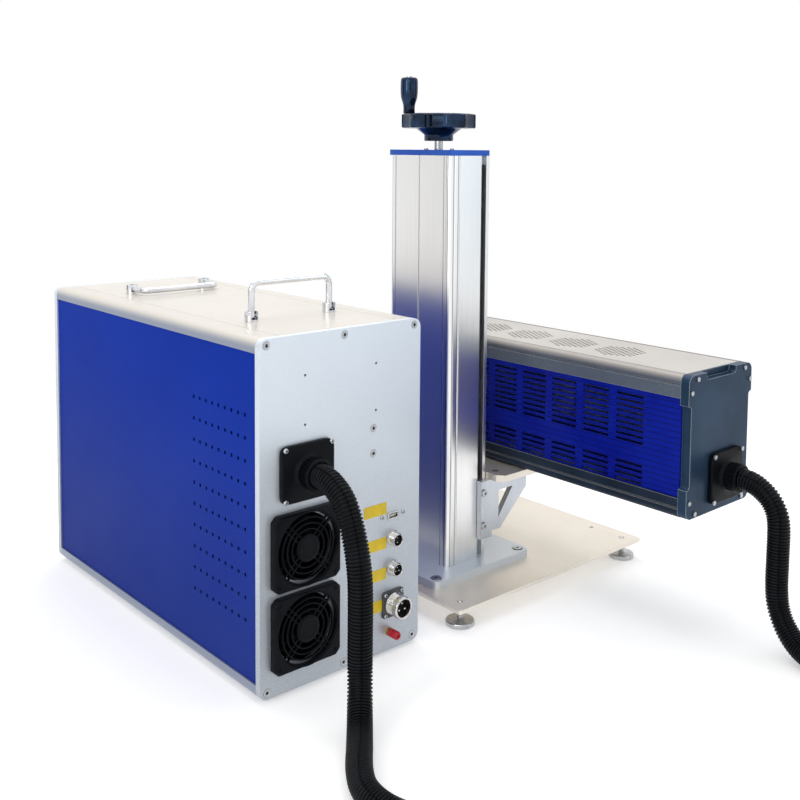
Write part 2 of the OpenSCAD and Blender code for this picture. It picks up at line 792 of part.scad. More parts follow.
// Front controls: body through the plate, and the part that moves in it
stop_thread = 22;
stop_ring_r = 15;
stop_ring_t = 8;
stop_stem_r = 7;
stop_body_l = 40;
stop_head_t = 15;
key_thread = 19;
key_ring_r = 12;
key_ring_t = 4;
key_r = 4;
key_bow = [20, 2.4, 22];
key_l = 14;
power_thread_d = 19;
button_r = 7.5;
button_l = 12;
module switch_body(thread, ring_r, ring_t, bore, deep) {
    difference() {
        union() {
            cylinder(h = ring_t, r = ring_r);
            translate([0, 0, -stop_body_l]) cylinder(h = stop_body_l + turn_gap, r = thread / 2);
        }
        translate([0, 0, -deep]) cylinder(h = deep + ring_t + cut, r = bore);
    }
}
stem_deep = 14;
stop_travel = 4;
module stop_switch() {
    color("gold") at_front(0, control_z) face_front()
        switch_body(stop_thread, stop_ring_r, stop_ring_t, stop_stem_r + turn_gap,
            stem_deep + stop_travel + cut);
}
module stop_button() {
    color("red") at_front(0, control_z) face_front() {
        translate([0, 0, -stem_deep]) cylinder(h = stem_deep + stop_out - stop_head_t + cut, r = stop_stem_r);
        translate([0, 0, stop_out - stop_head_t]) cylinder(h = stop_head_t, r = stop_d / 2);
    }
}
module key_switch() {
    color("silver") at_front(control_pitch, control_z) face_front()
        switch_body(key_thread, key_ring_r, key_ring_t, key_r + turn_gap, key_l);
}
module key() {
    color("silver") at_front(control_pitch, control_z) face_front() {
        translate([0, 0, cut - key_l]) cylinder(h = key_l + key_ring_t, r = key_r);
        translate([-key_bow[0] / 2, -key_bow[1] / 2, key_ring_t + cut / 2]) cube(key_bow);
    }
}
button_travel = 2.5;
module power_switch() {
    color("silver") at_front(-control_pitch, control_z) face_front()
        switch_body(power_thread_d, key_ring_r, key_ring_t, button_r + turn_gap,
            button_l + button_travel + cut);
}
module power_button() {
    color("limegreen") at_front(-control_pitch, control_z) face_front()
        translate([0, 0, -button_l]) cylinder(h = button_l + key_ring_t + button_travel + cut, r = button_r);
}

// Stand
bench_in_x = 21;
bench_in_y = 75;
bench_r = 3.3;
fixture_pitch = 100;
base_r = 3;
module each_foot() {
    for (sx = [-1, 1]) for (sy = [-1, 1])
        translate([sx * (base_w / 2 - foot_in), sy * (base_l / 2 - foot_in), 0]) children();
}
module each_bench_hole() {
    for (sx = [-1, 1]) for (sy = [-1, 1])
        translate([sx * (base_w / 2 - bench_in_x), sy * (base_l / 2 - bench_in_y), 0]) children();
}
lens_y = arm_rear_y - arm_l - head_l / 2;
module base_plate() {
    color("silver") difference() {
        at_base() translate([0, 0, base_top - base_t]) linear_extrude(base_t) rounded(base_w, base_l, base_r);
        at_base() each_foot() cylinder(h = base_top + cut, r = m8_r + turn_gap);
        at_base() each_bench_hole() cylinder(h = base_top + cut, r = bench_r);
        for (sx = [-1, 1]) for (sy = [-1, 1])
            translate([arm_mid_x + sx * fixture_pitch / 2, lens_y + sy * fixture_pitch / 2, 0])
                cylinder(h = base_top + cut, r = m6_r);
        at_colfoot() each_foot_bolt() cylinder(h = column_z, r = m8_r + turn_gap);
    }
}
ball_r = 9;
module levelling_feet() {
    color("silver") at_base() each_foot() {
        cylinder(h = foot_t, r = foot_d / 2);
        translate([0, 0, foot_t - turn_gap])
            cylinder(h = base_top - base_t - nut_h - foot_t, r1 = ball_r, r2 = m8_r);
        translate([0, 0, foot_t - turn_gap]) cylinder(h = base_top - foot_t + cut, r = m8_r);
        translate([0, 0, base_top - base_t - nut_h]) cylinder(h = nut_h, r = nut_r, $fn = 6);
    }
}
colfoot_r = 8;
colbolt_in = 12;
module at_colfoot() { at_column() translate([-colfoot_off, 0, 0]) children(); }
module each_foot_bolt() {
    for (sx = [-1, 1]) for (sy = [-1, 1])
        translate([sx * (colfoot_w / 2 - colbolt_in), sy * (colfoot_l / 2 - colbolt_in), 0]) children();
}
sink_r = 7.5;
sink_t = 4;
top_bolt_in = 12.5;
top_bolt_l = 12;
module column_foot() {
    color("silver") at_colfoot() difference() {
        translate([0, 0, base_top]) linear_extrude(colfoot_t) rounded(colfoot_w, colfoot_l, colfoot_r);
        each_foot_bolt() {
            cylinder(h = column_z + cut, r = m8_r + turn_gap);
            translate([0, 0, column_z - sink_t]) cylinder(h = sink_t + cut, r = sink_r);
        }
    }
}
module each_top_bolt() {
    for (sx = [-1, 1]) for (sy = [-1, 1]) translate([sx * top_bolt_in, sy * top_bolt_in, 0]) children();
}
module column_bolts() {
    color("silver") {
        at_colfoot() each_foot_bolt() translate([0, 0, column_z - sink_t])
            cap_bolt(m8_r, bolt_head_r, bolt_head_h, colfoot_t - sink_t + base_t);
        at_column() each_top_bolt() translate([0, 0, column_top_z + top_t])
            cap_bolt(m3_r, m3_head_r, m3_head_h, top_bolt_l);
    }
}

// Column section: the extrusion is closed to the cabinet and open to the arm
profile_x = col_w / 2 - profile_w;
cover_t = col_w - profile_w - slot_w;
cavity_x = col_w / 2 - profile_wall;
cavity_l = col_l - 2 * profile_wall;
edge_r = 9;
groove_w = 2.4;
groove_d = 3;
groove_x = 19.5;
module profile_outline() {
    difference() {
        union() {
            translate([profile_x, -col_l / 2]) square([profile_w - edge_r, col_l]);
            translate([profile_x, edge_r - col_l / 2]) square([profile_w, col_l - 2 * edge_r]);
            for (sy = [-1, 1]) translate([col_w / 2 - edge_r, sy * (col_l / 2 - edge_r)]) circle(edge_r);
        }
        translate([profile_x - cut, -cavity_l / 2]) square([cavity_x - profile_x + cut, cavity_l]);
        translate([col_w / 2 - groove_d, -groove_w / 2]) square([groove_d + cut, groove_w]);
        for (sy = [-1, 1]) translate([groove_x, sy * col_l / 2]) square([groove_w, groove_d], center = true);
    }
}
module column_profile() {
    color("silver") at_column() translate([0, 0, column_z]) linear_extrude(col_h) profile_outline();
}
module column_cover() {
    color("silver") at_column() translate([-col_w / 2, -col_l / 2, column_z]) cube([cover_t, col_l, col_h]);
}
block_t = 12;
screw_x = 1;
block_w = cavity_x - (cover_t - col_w / 2) - seam;
module end_block(z, t) {
    translate([cover_t - col_w / 2, seam - cavity_l / 2, z]) cube([block_w, cavity_l - 2 * seam, t]);
}
module end_blocks() {
    color("dimgray") at_column() difference() {
        union() {
            end_block(column_z, carriage_z - seam - column_z);
            end_block(column_top_z - block_t, block_t);
        }
        translate([screw_x, 0, column_z + block_t / 2]) cylinder(h = col_h + cut, r = screw_d / 2 + turn_gap);
        each_rod(column_z + block_t / 2, col_h - block_t, turn_gap);
        each_top_bolt() translate([0, 0, column_top_z - top_bolt_l])
            cylinder(h = top_bolt_l + cut, r = m3_r + turn_gap);
    }
}
module each_rod(z, l, grow) {
    for (sy = [-1, 1]) translate([screw_x, sy * rod_pitch / 2, z]) cylinder(h = l, r = rod_d / 2 + grow);
}
module guide_rods() { color("silver") at_column() each_rod(column_z + block_t / 2, col_h - block_t, 0); }
module column_top() {
    color("royalblue") at_column() difference() {
        translate([-col_w / 2, -col_l / 2, column_top_z]) cube([col_w, col_l, top_t]);
        translate([screw_x, 0, column_top_z - cut]) cylinder(h = top_t + 2 * cut, r = screw_d / 2 + turn_gap);
        each_top_bolt() translate([0, 0, column_top_z - cut])
            cylinder(h = top_t + 2 * cut, r = m3_r + turn_gap);
    }
}

// Lead screw, handwheel and grip
hub_gap = 12;
wheel_hub_r = 20;
wheel_hub_h = 8;
wheel_rim_t = 20;
wheel_web_h = 9;
wheel_rim_w = 13;
wheel_cone_r = 31;
thrust_r = 9;
thrust_h = 5;
hub_z = column_top_z + top_t + hub_gap;
rim_z = hub_z + wheel_hub_h + wheel_web_h;
wheel_top_z = rim_z + wheel_rim_t;
module lead_screw() {
    color("silver") at_column() translate([screw_x, 0, 0]) {
        translate([0, 0, column_z + block_t / 2 + seam])
            cylinder(h = rim_z - column_z - block_t / 2 - seam, r = screw_d / 2);
        translate([0, 0, column_top_z - block_t - thrust_h - seat_gap]) cylinder(h = thrust_h, r = thrust_r);
    }
}
grip_ring = wheel_d / 2 - grip_d / 2;
grip_pin_r = 3;
pin_cap_r = 4.5;
pin_cap_h = 2;
web_t = 4;
module handwheel() {
    color("black") at_column() translate([screw_x, 0, 0]) difference() {
        union() {
            translate([0, 0, hub_z]) cylinder(h = wheel_hub_h, r = wheel_hub_r);
            translate([0, 0, hub_z + wheel_hub_h - turn_gap]) difference() {
                cylinder(h = wheel_web_h + 2 * turn_gap, r1 = wheel_hub_r, r2 = wheel_cone_r);
                translate([0, 0, web_t])
                    cylinder(h = wheel_web_h, r1 = wheel_hub_r - web_t, r2 = wheel_cone_r - web_t);
            }
            translate([0, 0, hub_z])
                cylinder(h = wheel_top_z - hub_z - wheel_rim_t / 2, r = wheel_hub_r * boss_share);
            translate([0, 0, rim_z]) difference() {
                cylinder(h = wheel_rim_t, r = wheel_d / 2);
                translate([0, 0, web_t]) cylinder(h = wheel_rim_t, r = wheel_d / 2 - wheel_rim_w);
            }
            translate([grip_dir_x * grip_ring, grip_dir_y * grip_ring, 0]) {
                translate([0, 0, rim_z]) cylinder(h = wheel_rim_t, r = grip_d / 2 - cut);
                translate([0, 0, wheel_top_z - turn_gap]) cylinder(h = grip_l + seam, r = grip_pin_r);
                translate([0, 0, wheel_top_z + grip_l + seam - turn_gap])
                    cylinder(h = pin_cap_h, r = pin_cap_r);
            }
        }
        translate([0, 0, hub_z - cut]) cylinder(h = rim_z - hub_z + cut, r = screw_d / 2 + turn_gap);
    }
}
boss_share = 0.62;
grip_turn = 41;
grip_dir_x = cos(grip_turn);
grip_dir_y = -sin(grip_turn);
grip_foot_r = 8;
grip_foot_h = 12;
grip_neck_r = 10;
grip_neck_h = 19;
grip_dome = 3;
grip_top_r = 8.5;
grip_bore_r = grip_pin_r + turn_gap;
module wheel_grip() {
    color("black") at_column()
        translate([screw_x + grip_dir_x * grip_ring, grip_dir_y * grip_ring, wheel_top_z + turn_gap])
            rotate_extrude() polygon([[grip_bore_r, 0], [grip_foot_r, 0], [grip_foot_r, grip_foot_h],
                [grip_neck_r, grip_neck_h], [grip_d / 2, grip_l - grip_dome], [grip_top_r, grip_l],
                [grip_bore_r, grip_l]]);
}

// Carriage on the guide rods, with wings out through both slots
carriage_z = shelf_z - shelf_t - carriage_h;
wing_gap = 0.6;
wing_x = cover_t - col_w / 2 + wing_gap;
wing_w = slot_w - 2 * wing_gap;
wing_end = col_l / 2 + wing_gap;
block_l = 98;
clamp_z = [18.5, 64.5];
module carriage() {
    color("dimgray") at_column() translate([0, 0, carriage_z]) difference() {
        union() {
            translate([wing_x, -block_l / 2, 0])
                cube([cavity_x - wing_x - 2 * wing_gap, block_l, carriage_h]);
            translate([wing_x, -wing_end, 0]) cube([wing_w, 2 * wing_end, carriage_h]);
        }
        translate([screw_x, 0, -cut]) cylinder(h = carriage_h + 2 * cut, r = screw_d / 2 + turn_gap);
        each_rod(-cut, carriage_h + 2 * cut, turn_gap);
        each_clamp_screw() translate([0, 0, bracket_t - clamp_l]) cylinder(h = clamp_l, r = m5_r + turn_gap);
    }
}
clamp_l = 18;
module each_clamp_screw() {
    for (sy = [-1, 1]) for (z = clamp_z) translate([wing_x + wing_w / 2, sy * wing_end, z])
        mirror([0, sy < 0 ? 1 : 0, 0]) face_rear() children();
}

// Bracket: two windowed gussets joined by a plate in front of the column's cover
bracket_back = 20.5;
web_x = -col_w / 2 - wing_gap;
gusset_leg = 12.5;
gusset_top_h = 18;
gusset_tip_h = 24;
gusset_foot = 16;
gusset_low = 8;
face_t = 6;
gusset_x = web_x - face_t;
module gusset_outline() {
    difference() {
        polygon([[-bracket_back, 0], [-bracket_back, carriage_h], [-bracket_reach, carriage_h],
            [-bracket_reach, carriage_h - gusset_tip_h], [gusset_x - gusset_foot, gusset_low],
            [gusset_x, gusset_low], [gusset_x, 0]]);
        polygon([[gusset_x - gusset_leg, carriage_h - gusset_top_h],
            [gusset_leg + gusset_foot - bracket_reach, carriage_h - gusset_top_h],
            [gusset_x - gusset_leg, gusset_low + gusset_foot]]);
    }
}
module bracket() {
    color("silver") at_column() translate([0, 0, carriage_z]) difference() {
        union() {
            wall_y(wing_end, bracket_t) gusset_outline();
            wall_y(-wing_end - bracket_t, bracket_t) gusset_outline();
            translate([gusset_x, -wing_end - cut, 0]) cube([face_t, 2 * (wing_end + cut), carriage_h]);
        }
        each_clamp_screw() translate([0, 0, -cut]) cylinder(h = bracket_t + 2 * cut, r = m5_r + turn_gap);
        each_shelf_screw() translate([0, 0, carriage_h - m5_l]) cylinder(h = m5_l + cut, r = m5_r + turn_gap);
    }
}
shelf_screw_x = [-52, -104];
module each_shelf_screw() {
    for (x = shelf_screw_x) for (sy = [-1, 1]) translate([x, sy * (wing_end + bracket_t / 2), 0]) children();
}
shelf_x = -col_w / 2 - cut;
shelf_chamfer = 9;
arm_bolt_x = 40;
arm_bolt_y = 44;
module each_arm_bolt() {
    for (sx = [-1, 1]) for (sy = [-1, 1])
        translate([-arm_x + sx * arm_bolt_x, sy * arm_bolt_y, 0]) children();
}
module shelf() {
    color("silver") at_column() translate([0, 0, shelf_z - shelf_t]) difference() {
        translate([shelf_x - shelf_w / 2, 0, 0])
            linear_extrude(shelf_t) chamfered(shelf_w, shelf_l, shelf_chamfer);
        each_shelf_screw() translate([0, 0, shelf_t]) csk_screw(shelf_t + m5_l, 1);
        each_arm_bolt() translate([0, 0, -cut]) cylinder(h = shelf_t + 2 * cut, r = m5_r + turn_gap);
    }
}

// Laser arm: rails, panels and end covers
arm_rail_l = arm_l - 2 * cap_t;
rail_groove = 2;
rail_groove_z = 11.5;
arm_panel_t = 3;
arm_ledge_w = 12;
arm_ledge_t = 5;
// The end covers' screws, counted from a rail's outer corner
cap_screw_at = [[17, 5.5], [4.5, 21]];

module arm_rail_outline(h) {
    difference() {
        union() {
            corner_block(arm_rail_w, h, arm_r);
            translate([-arm_rail_w - arm_ledge_w, -arm_panel_t - arm_ledge_t])
                square([arm_ledge_w + seam, arm_ledge_t]);
        }
        translate([-rail_groove, -rail_groove_z - rail_groove]) square([rail_groove + cut, rail_groove]);
        for (p = cap_screw_at) translate(-p) circle(m3_r + turn_gap);
    }
}
module arm_rails() {
    color("slategray") at_arm() for (sx = [-1, 1]) for (sz = [-1, 1])
        translate([sx * arm_w / 2, 0, arm_h / 2 + sz * arm_h / 2])
            flip(sx, sz) wall_y(cap_t - arm_l, arm_rail_l) arm_rail_outline(sz > 0 ? arm_rail_h : arm_foot_h);
}
arm_top_w = arm_w - 2 * arm_rail_w - 2 * seam;
field_rows = 9;
field_mid = 9;
field_hole = 2.4;
field_dx = 8;
field_dy = 6.93;
field_in = 6;
// Holes in staggered rows, each row one hole shorter than the one nearer the middle
module vent_field() {
    for (r = [0 : field_rows - 1]) let (away = abs(r - (field_rows - 1) / 2))
        for (c = [0 : field_mid - 1 - away])
            translate([(c - (field_mid - 1 - away) / 2) * field_dx + field_in,
                (r - (field_rows - 1) / 2) * field_dy])
                circle(field_hole, $fn = 24);
}
module arm_top() {
    color("linen") at_arm() translate([0, cap_t - arm_l, arm_h - arm_panel_t]) difference() {
        translate([-arm_top_w / 2, 0, 0]) cube([arm_top_w, arm_rail_l, arm_panel_t]);
        for (i = [0 : field_count - 1])
            translate([0, arm_l - cap_t - field_rear - i * field_pitch, -cut])
                linear_extrude(arm_panel_t + 2 * cut) vent_field();
    }
}
module arm_bottom() {
    color("slategray") at_arm() translate([0, cap_t - arm_l, 0]) difference() {
        translate([-arm_top_w / 2, 0, 0]) cube([arm_top_w, arm_rail_l, arm_panel_t]);
        for (sx = [-1, 1]) for (sy = [-1, 1])
            translate([sx * arm_bolt_x, column_y - arm_rear_y - cap_t + arm_l + sy * arm_bolt_y, -cut])
                cylinder(h = arm_panel_t + 2 * cut, r = m5_r + turn_gap);
    }
}
arm_side_h = arm_h - arm_rail_h - arm_foot_h - 2 * seam;
slot_low = 4;
slot_gap_rows = 3;
module slot_outline() { translate([-slot_l / 2, -slot_h / 2]) square([slot_l, slot_h]); }
module arm_side_outline() {
    difference() {
        translate([cap_t - arm_l, arm_foot_h + seam]) square([arm_rail_l, arm_side_h]);
        for (c = [0 : slot_cols - 1]) translate([-slot_rear - c * slot_dx, arm_foot_h + slot_low]) {
            for (r = [0 : slot_down - 1]) translate([0, r * slot_dz]) slot_outline();
            for (r = [0 : slot_up - 1])
                translate([0, (slot_down + slot_gap_rows + r) * slot_dz]) slot_outline();
        }
    }
}
module arm_sides() {
    color("mediumblue") at_arm() for (sx = [-1, 1])
        wall_x(sx * (arm_w / 2 - side_in - arm_panel_t / 2) - arm_panel_t / 2, arm_panel_t)
            arm_side_outline();
}
cap_r = 10;
cap_ear = 37;
cap_side_ear = 37;
cap_web = 2;
module cap_outline(open_top = true) {
    difference() {
        rounded(arm_w + 2 * seam, arm_h, cap_r);
        for (sx = [-1, 1]) translate([sx * (arm_w / 2 + seam), 0])
            rounded(2 * cap_notch, arm_h - 2 * cap_side_ear, cap_notch - cut);
        if (open_top)
            translate([0, arm_h / 2]) rounded(arm_w - 2 * cap_ear, 3 * cap_notch, cap_notch - cut);
    }
}
module each_cap_screw() {
    for (sx = [-1, 1]) for (sz = [-1, 1]) for (p = cap_screw_at)
        translate([sx * (arm_w / 2 - p[0]), 0, sz * (arm_h / 2 - p[1])]) children();
}
gland_dx = -11;
gland_dz = 42;
arm_gland_x = gland_dx;
arm_gland_z = gland_dz;
module arm_rear_cover() {
    color("slategray") at_arm() difference() {
        translate([0, 0, arm_h / 2]) {
            wall_y(-cap_t, cap_t) cap_outline();
            wall_y(-cap_t, cap_web) cap_outline(open_top = false);
        }
        translate([0, 0, arm_h / 2]) each_cap_screw() face_rear() translate([0, 0, -cap_t - cut])
            cylinder(h = cap_t + 2 * cut, r = m3_r + turn_gap);
        translate([arm_gland_x, 0, arm_gland_z]) face_rear() {
            translate([0, 0, -cap_t - cut]) cylinder(h = cap_t + 2 * cut, r = bore_hose / 2);
            for (sx = [-1, 1]) for (sy = [-1, 1])
                translate([sx * gland_screw_x, sy * gland_screw_z, -port_screw_l])
                    cylinder(h = port_screw_l + cut, r = m3_r + turn_gap);
        }
    }
}
module arm_gland() { color("black") at_arm() translate([arm_gland_x, 0, arm_gland_z]) face_rear() gland(); }
beam_z = 110;
beam_r = 8;
module arm_front_plate() {
    color("slategray") at_arm() difference() {
        translate([0, 0, arm_h / 2]) wall_y(-arm_l, cap_t) rounded(arm_w + 2 * seam, arm_h, cap_r);
        translate([0, 0, arm_h / 2]) each_cap_screw() face_rear() translate([0, 0, -arm_l - cut])
            cylinder(h = cap_t + 2 * cut, r = m3_r + turn_gap);
        translate([0, cut - arm_l + cap_t, beam_z]) face_front() cylinder(h = cap_t + 2 * cut, r = beam_r);
    }
}
cap_screw_l = 20;
module arm_screws() {
    color("silver") {
        at_arm() translate([0, 0, arm_h / 2]) each_cap_screw() {
            face_rear() pan_screw(cap_screw_l);
            translate([0, -arm_l, 0]) face_front() pan_screw(cap_screw_l);
        }
        at_arm() translate([arm_gland_x, flange_t, arm_gland_z]) face_rear()
            for (sx = [-1, 1]) for (sy = [-1, 1]) translate([sx * gland_screw_x, sy * gland_screw_z, 0])
                pan_screw(flange_t + port_screw_l - cut);
        at_column() translate([0, 0, carriage_z]) each_clamp_screw() translate([0, 0, bracket_t])
            cap_bolt(m5_r, m5_head_r, m5_head_h, clamp_l - cut);
        at_column() each_shelf_screw() translate([0, 0, shelf_z]) csk_screw(shelf_t + m5_l - cut);
        at_column() each_arm_bolt() translate([0, 0, shelf_z - shelf_t]) rotate([180, 0, 0])
            cap_bolt(m5_r, m5_head_r, m5_head_h, shelf_t + arm_panel_t);
    }
}

// Laser tube with its fins, and the scan head in front
tube_w = 84;
tube_h = 84;
tube_l = 420;
tube_foot = 20;
tube_foot_w = 70;
fin_pitch = 8;
fin_t = 2.5;
fin_depth = 6;
expander_r = 16;
tube_rear = 40;
module laser_tube() {
    tube_y = -tube_rear - tube_l;
    color("silver") at_arm() {
        difference() {
            translate([-tube_w / 2, tube_y, beam_z - tube_h / 2]) cube([tube_w, tube_l, tube_h]);
            for (sx = [-1, 1]) for (z = [fin_pitch : fin_pitch : tube_h - fin_pitch])
                translate([sx * tube_w / 2 - fin_depth, tube_y - cut, beam_z - tube_h / 2 + z - fin_t])
                    cube([2 * fin_depth, tube_l + 2 * cut, fin_pitch - fin_t]);
        }
        for (y = [tube_y + tube_foot, -tube_rear - 2 * tube_foot])
            translate([-tube_foot_w / 2, y, arm_panel_t])
                cube([tube_foot_w, tube_foot, beam_z - tube_h / 2 - arm_panel_t + turn_gap]);
        translate([0, tube_y + turn_gap, beam_z]) face_front() difference() {
            cylinder(h = arm_l - cap_t - tube_rear - tube_l - cut, r = expander_r);
            translate([0, 0, cut]) cylinder(h = arm_l, r = beam_r);
        }
    }
}

// Scan head: a hollow box with two mirror drives and, below, the lens in its barrel
head_wall = 8;
head_below = 58;
lens_rim_r = 32;
lens_rim_t = 14;
lens_neck_r = 36;
lens_neck_t = 6;
lens_glass_t = 6;
lens_seat = 3;
head_low = beam_z - head_below;
mirror_drop = 22;
mirror_y_z = beam_z - mirror_drop;
module scan_head() {
    color("black") at_arm() translate([0, -arm_l, head_low]) difference() {
        union() {
            translate([0, -head_l, head_h / 2]) wall_y(0, head_l) rounded(head_w, head_h, head_wall / 2);
            translate([0, -head_l / 2, -lens_neck_t]) cylinder(h = lens_neck_t + turn_gap, r = lens_neck_r);
            translate([0, -head_l / 2, -lens_neck_t - lens_rim_t])
                cylinder(h = lens_rim_t + turn_gap, r = lens_rim_r);
        }
        translate([head_wall - head_w / 2, head_wall - head_l, head_wall])
            cube([head_w - 2 * head_wall, head_l - 2 * head_wall, head_h - 2 * head_wall]);
        translate([0, cut, beam_z - head_low]) face_front() cylinder(h = head_wall + 2 * cut, r = beam_r);
        translate([0, -head_l / 2, -lens_neck_t - lens_rim_t - cut])
            cylinder(h = lens_rim_t + cut, r = lens_d / 2 + turn_gap);
        translate([0, -head_l / 2, -lens_neck_t - cut])
            cylinder(h = lens_neck_t + head_wall + 2 * cut, r = lens_d / 2 - lens_seat);
    }
}
module scan_lens() {
    color("lightcyan") at_arm() translate([0, -arm_l - head_l / 2, head_low - lens_neck_t - lens_glass_t])
        cylinder(h = lens_glass_t, r = lens_d / 2);
}
galvo_r = 12;
galvo_l = 22;
galvo_hole_r = 4;
shaft_end = 4;
mirror_t = 3;
mirror_w = 22;
mirror_l = 26;
module galvo(reach) {
    // Motor seated on the head's inner wall, its shaft hole facing the mirror
    translate([0, 0, reach - galvo_l]) difference() {
        cylinder(h = galvo_l, r = galvo_r);
        translate([0, 0, -cut]) cylinder(h = galvo_l, r = galvo_hole_r + turn_gap);
    }
}
module mirror_blade(reach) {
    // Shaft along +Z from a blade about the origin
    rotate([0, 0, 45]) translate([-mirror_w / 2, -mirror_t / 2, -mirror_l / 2])
        cube([mirror_w, mirror_t, mirror_l]);
    translate([0, 0, mirror_l / 2 - turn_gap])
        cylinder(h = reach - shaft_end - mirror_l / 2, r = galvo_hole_r);
}
module at_mirror_x() {
    at_arm() translate([0, -arm_l - head_l / 2, beam_z]) rotate([0, 90, 0]) children();
}
module at_mirror_y() { at_arm() translate([0, -arm_l - head_l / 2, mirror_y_z]) face_front() children(); }
module galvo_motors() {
    color("dimgray") {
        at_mirror_x() galvo(head_w / 2 - head_wall);
        at_mirror_y() galvo(head_l / 2 - head_wall);
    }
}
module mirror_x() { color("lightcyan") at_mirror_x() mirror_blade(head_w / 2 - head_wall); }
module mirror_y() { color("lightcyan") at_mirror_y() mirror_blade(head_l / 2 - head_wall); }

// Ribbed hose: points by hand from the cabinet's collar to the arm's, then a smooth curve through them
hose_route = [[268, 160, 248], [268, 171, 248], [268, 182, 248], [268, 189.5, 247.5], [268, 201.4, 244.4],
    [268, 218.1, 234.1], [268, 230.1, 218.5], [268, 240.9, 192.4], [268, 247.5, 165], [268, 249.7, 136.8],
    [268, 249.7, 76], [271, 253.4, 52.3], [279.5, 263.8, 32.2], [292.2, 279.4, 18.7], [307.3, 297.7, 14],
    [333.8, 330.2, 14], [348.4, 357.4, 14], [351.6, 387.9, 14], [343, 417.5, 14], [324, 441.6, 14],
    [266.6, 490.8, 14], [209.2, 540, 14], [151.8, 589.2, 14], [94.4, 638.4, 14], [67, 653.8, 14],
    [35.7, 657.3, 14], [5.4, 648.6, 14], [-47.6, 621, 14], [-100.7, 593.3, 14], [-153.8, 565.7, 14],
    [-179.4, 545.2, 14], [-195.4, 516.6, 14], [-197.8, 509, 14], [-205.2, 486.4, 18.7],
    [-211.4, 467.3, 32.2], [-215.5, 454.5, 52.3], [-217, 450, 76], [-217, 450, 113], [-217, 450, 150],
    [-217, 446.3, 168.4], [-217, 435.9, 183.9], [-217, 420.4, 194.3], [-217, 408.7, 197.5],
    [-217, 402, 198], [-217, 391, 198], [-217, 380, 198]];
hose_steps = 8;
hose_sides = 8;
function spline(a, b, c, d, t) = 0.5 * ((2 * b) + (c - a) * t + (2 * a - 5 * b + 4 * c - d) * t * t
    + (3 * b - a - 3 * c + d) * t * t * t);
function clamp_at(v, i) = v[min(max(i, 0), len(v) - 1)];
hose_line = [for (i = [0 : len(hose_route) - 2]) for (s = [0 : hose_steps - 1])
    spline(i == 0 ? 2 * hose_route[0] - hose_route[1] : hose_route[i - 1], hose_route[i], hose_route[i + 1],
        i + 2 < len(hose_route) ? hose_route[i + 2] : 2 * hose_route[i + 1] - hose_route[i], s / hose_steps),
    hose_route[len(hose_route) - 1]];
hose_at = [for (i = 0, s = 0; i < len(hose_line); i = i + 1,
    s = s + (i < len(hose_line) ? norm(hose_line[i] - hose_line[i - 1]) : 0)) s];
hose_len = hose_at[len(hose_at) - 1];
function place(s, i = 0) = i >= len(hose_at) - 2 || hose_at[i + 1] >= s
    ? hose_line[i] + (hose_line[i + 1] - hose_line[i]) * (s - hose_at[i]) / (hose_at[i + 1] - hose_at[i])
    : place(s, i + 1);
function unit(v) = v / norm(v);
// Rings: two at a rib's crest and the valleys between them; the ends stay square to the collars
rib_pitch = hose_len / rib_count;
ring_s = [0, for (i = [0 : rib_count - 1]) each [(i + 0.25) * rib_pitch, (i + 0.75) * rib_pitch], hose_len];
ring_r = [hose_d / 2 - rib_depth, for (i = [0 : rib_count - 1]) each [hose_d / 2, hose_d / 2 - rib_depth],
    hose_d / 2 - rib_depth];
ring_p = [for (s = ring_s) place(s)];
ring_t = [for (i = [0 : len(ring_p) - 1])
    i == 0 ? [0, 1, 0] : i == len(ring_p) - 1 ? [0, -1, 0] : unit(ring_p[i + 1] - ring_p[i - 1])];
ring_n = [for (i = 0, n = [1, 0, 0]; i < len(ring_t); i = i + 1,
    n = i < len(ring_t) ? unit(n - (n * ring_t[i]) * ring_t[i]) : n) n];
function ring(i, r) = [for (k = [0 : hose_sides - 1]) let (a = 360 * k / hose_sides)
    ring_p[i] + r * (cos(a) * ring_n[i] + sin(a) * cross(ring_t[i], ring_n[i]))];
bore_rings = [for (i = [0 : 6 : len(ring_p) - 2]) i, len(ring_p) - 1];
hose_outer = [for (i = [0 : len(ring_p) - 1]) each ring(i, ring_r[i])];
hose_inner = [for (i = bore_rings) each ring(i, hose_bore / 2)];
outer_n = len(ring_p);
inner_n = len(bore_rings);
function skin(n, first, out) = [for (i = [0 : n - 2]) for (k = [0 : hose_sides - 1])
    let (a = first + i * hose_sides + k, b = first + i * hose_sides + (k + 1) % hose_sides)
    each (out ? [[a, a + hose_sides, b], [b, a + hose_sides, b + hose_sides]]
        : [[a, b, a + hose_sides], [b, b + hose_sides, a + hose_sides]])];
function rim_faces(o, i, start) = [for (k = [0 : hose_sides - 1])
    let (a = o + k, b = o + (k + 1) % hose_sides, c = i + k, d = i + (k + 1) % hose_sides)
    each (start ? [[a, b, c], [b, d, c]] : [[a, c, b], [b, c, d]])];
module hose() {
    color("black") polyhedron(concat(hose_outer, hose_inner), concat(
        skin(outer_n, 0, true), skin(inner_n, outer_n * hose_sides, false),
        rim_faces(0, outer_n * hose_sides, true),
        rim_faces((outer_n - 1) * hose_sides, (outer_n + inner_n - 1) * hose_sides, false)));
}
echo(hose_length = hose_len, rib_pitch = rib_pitch);

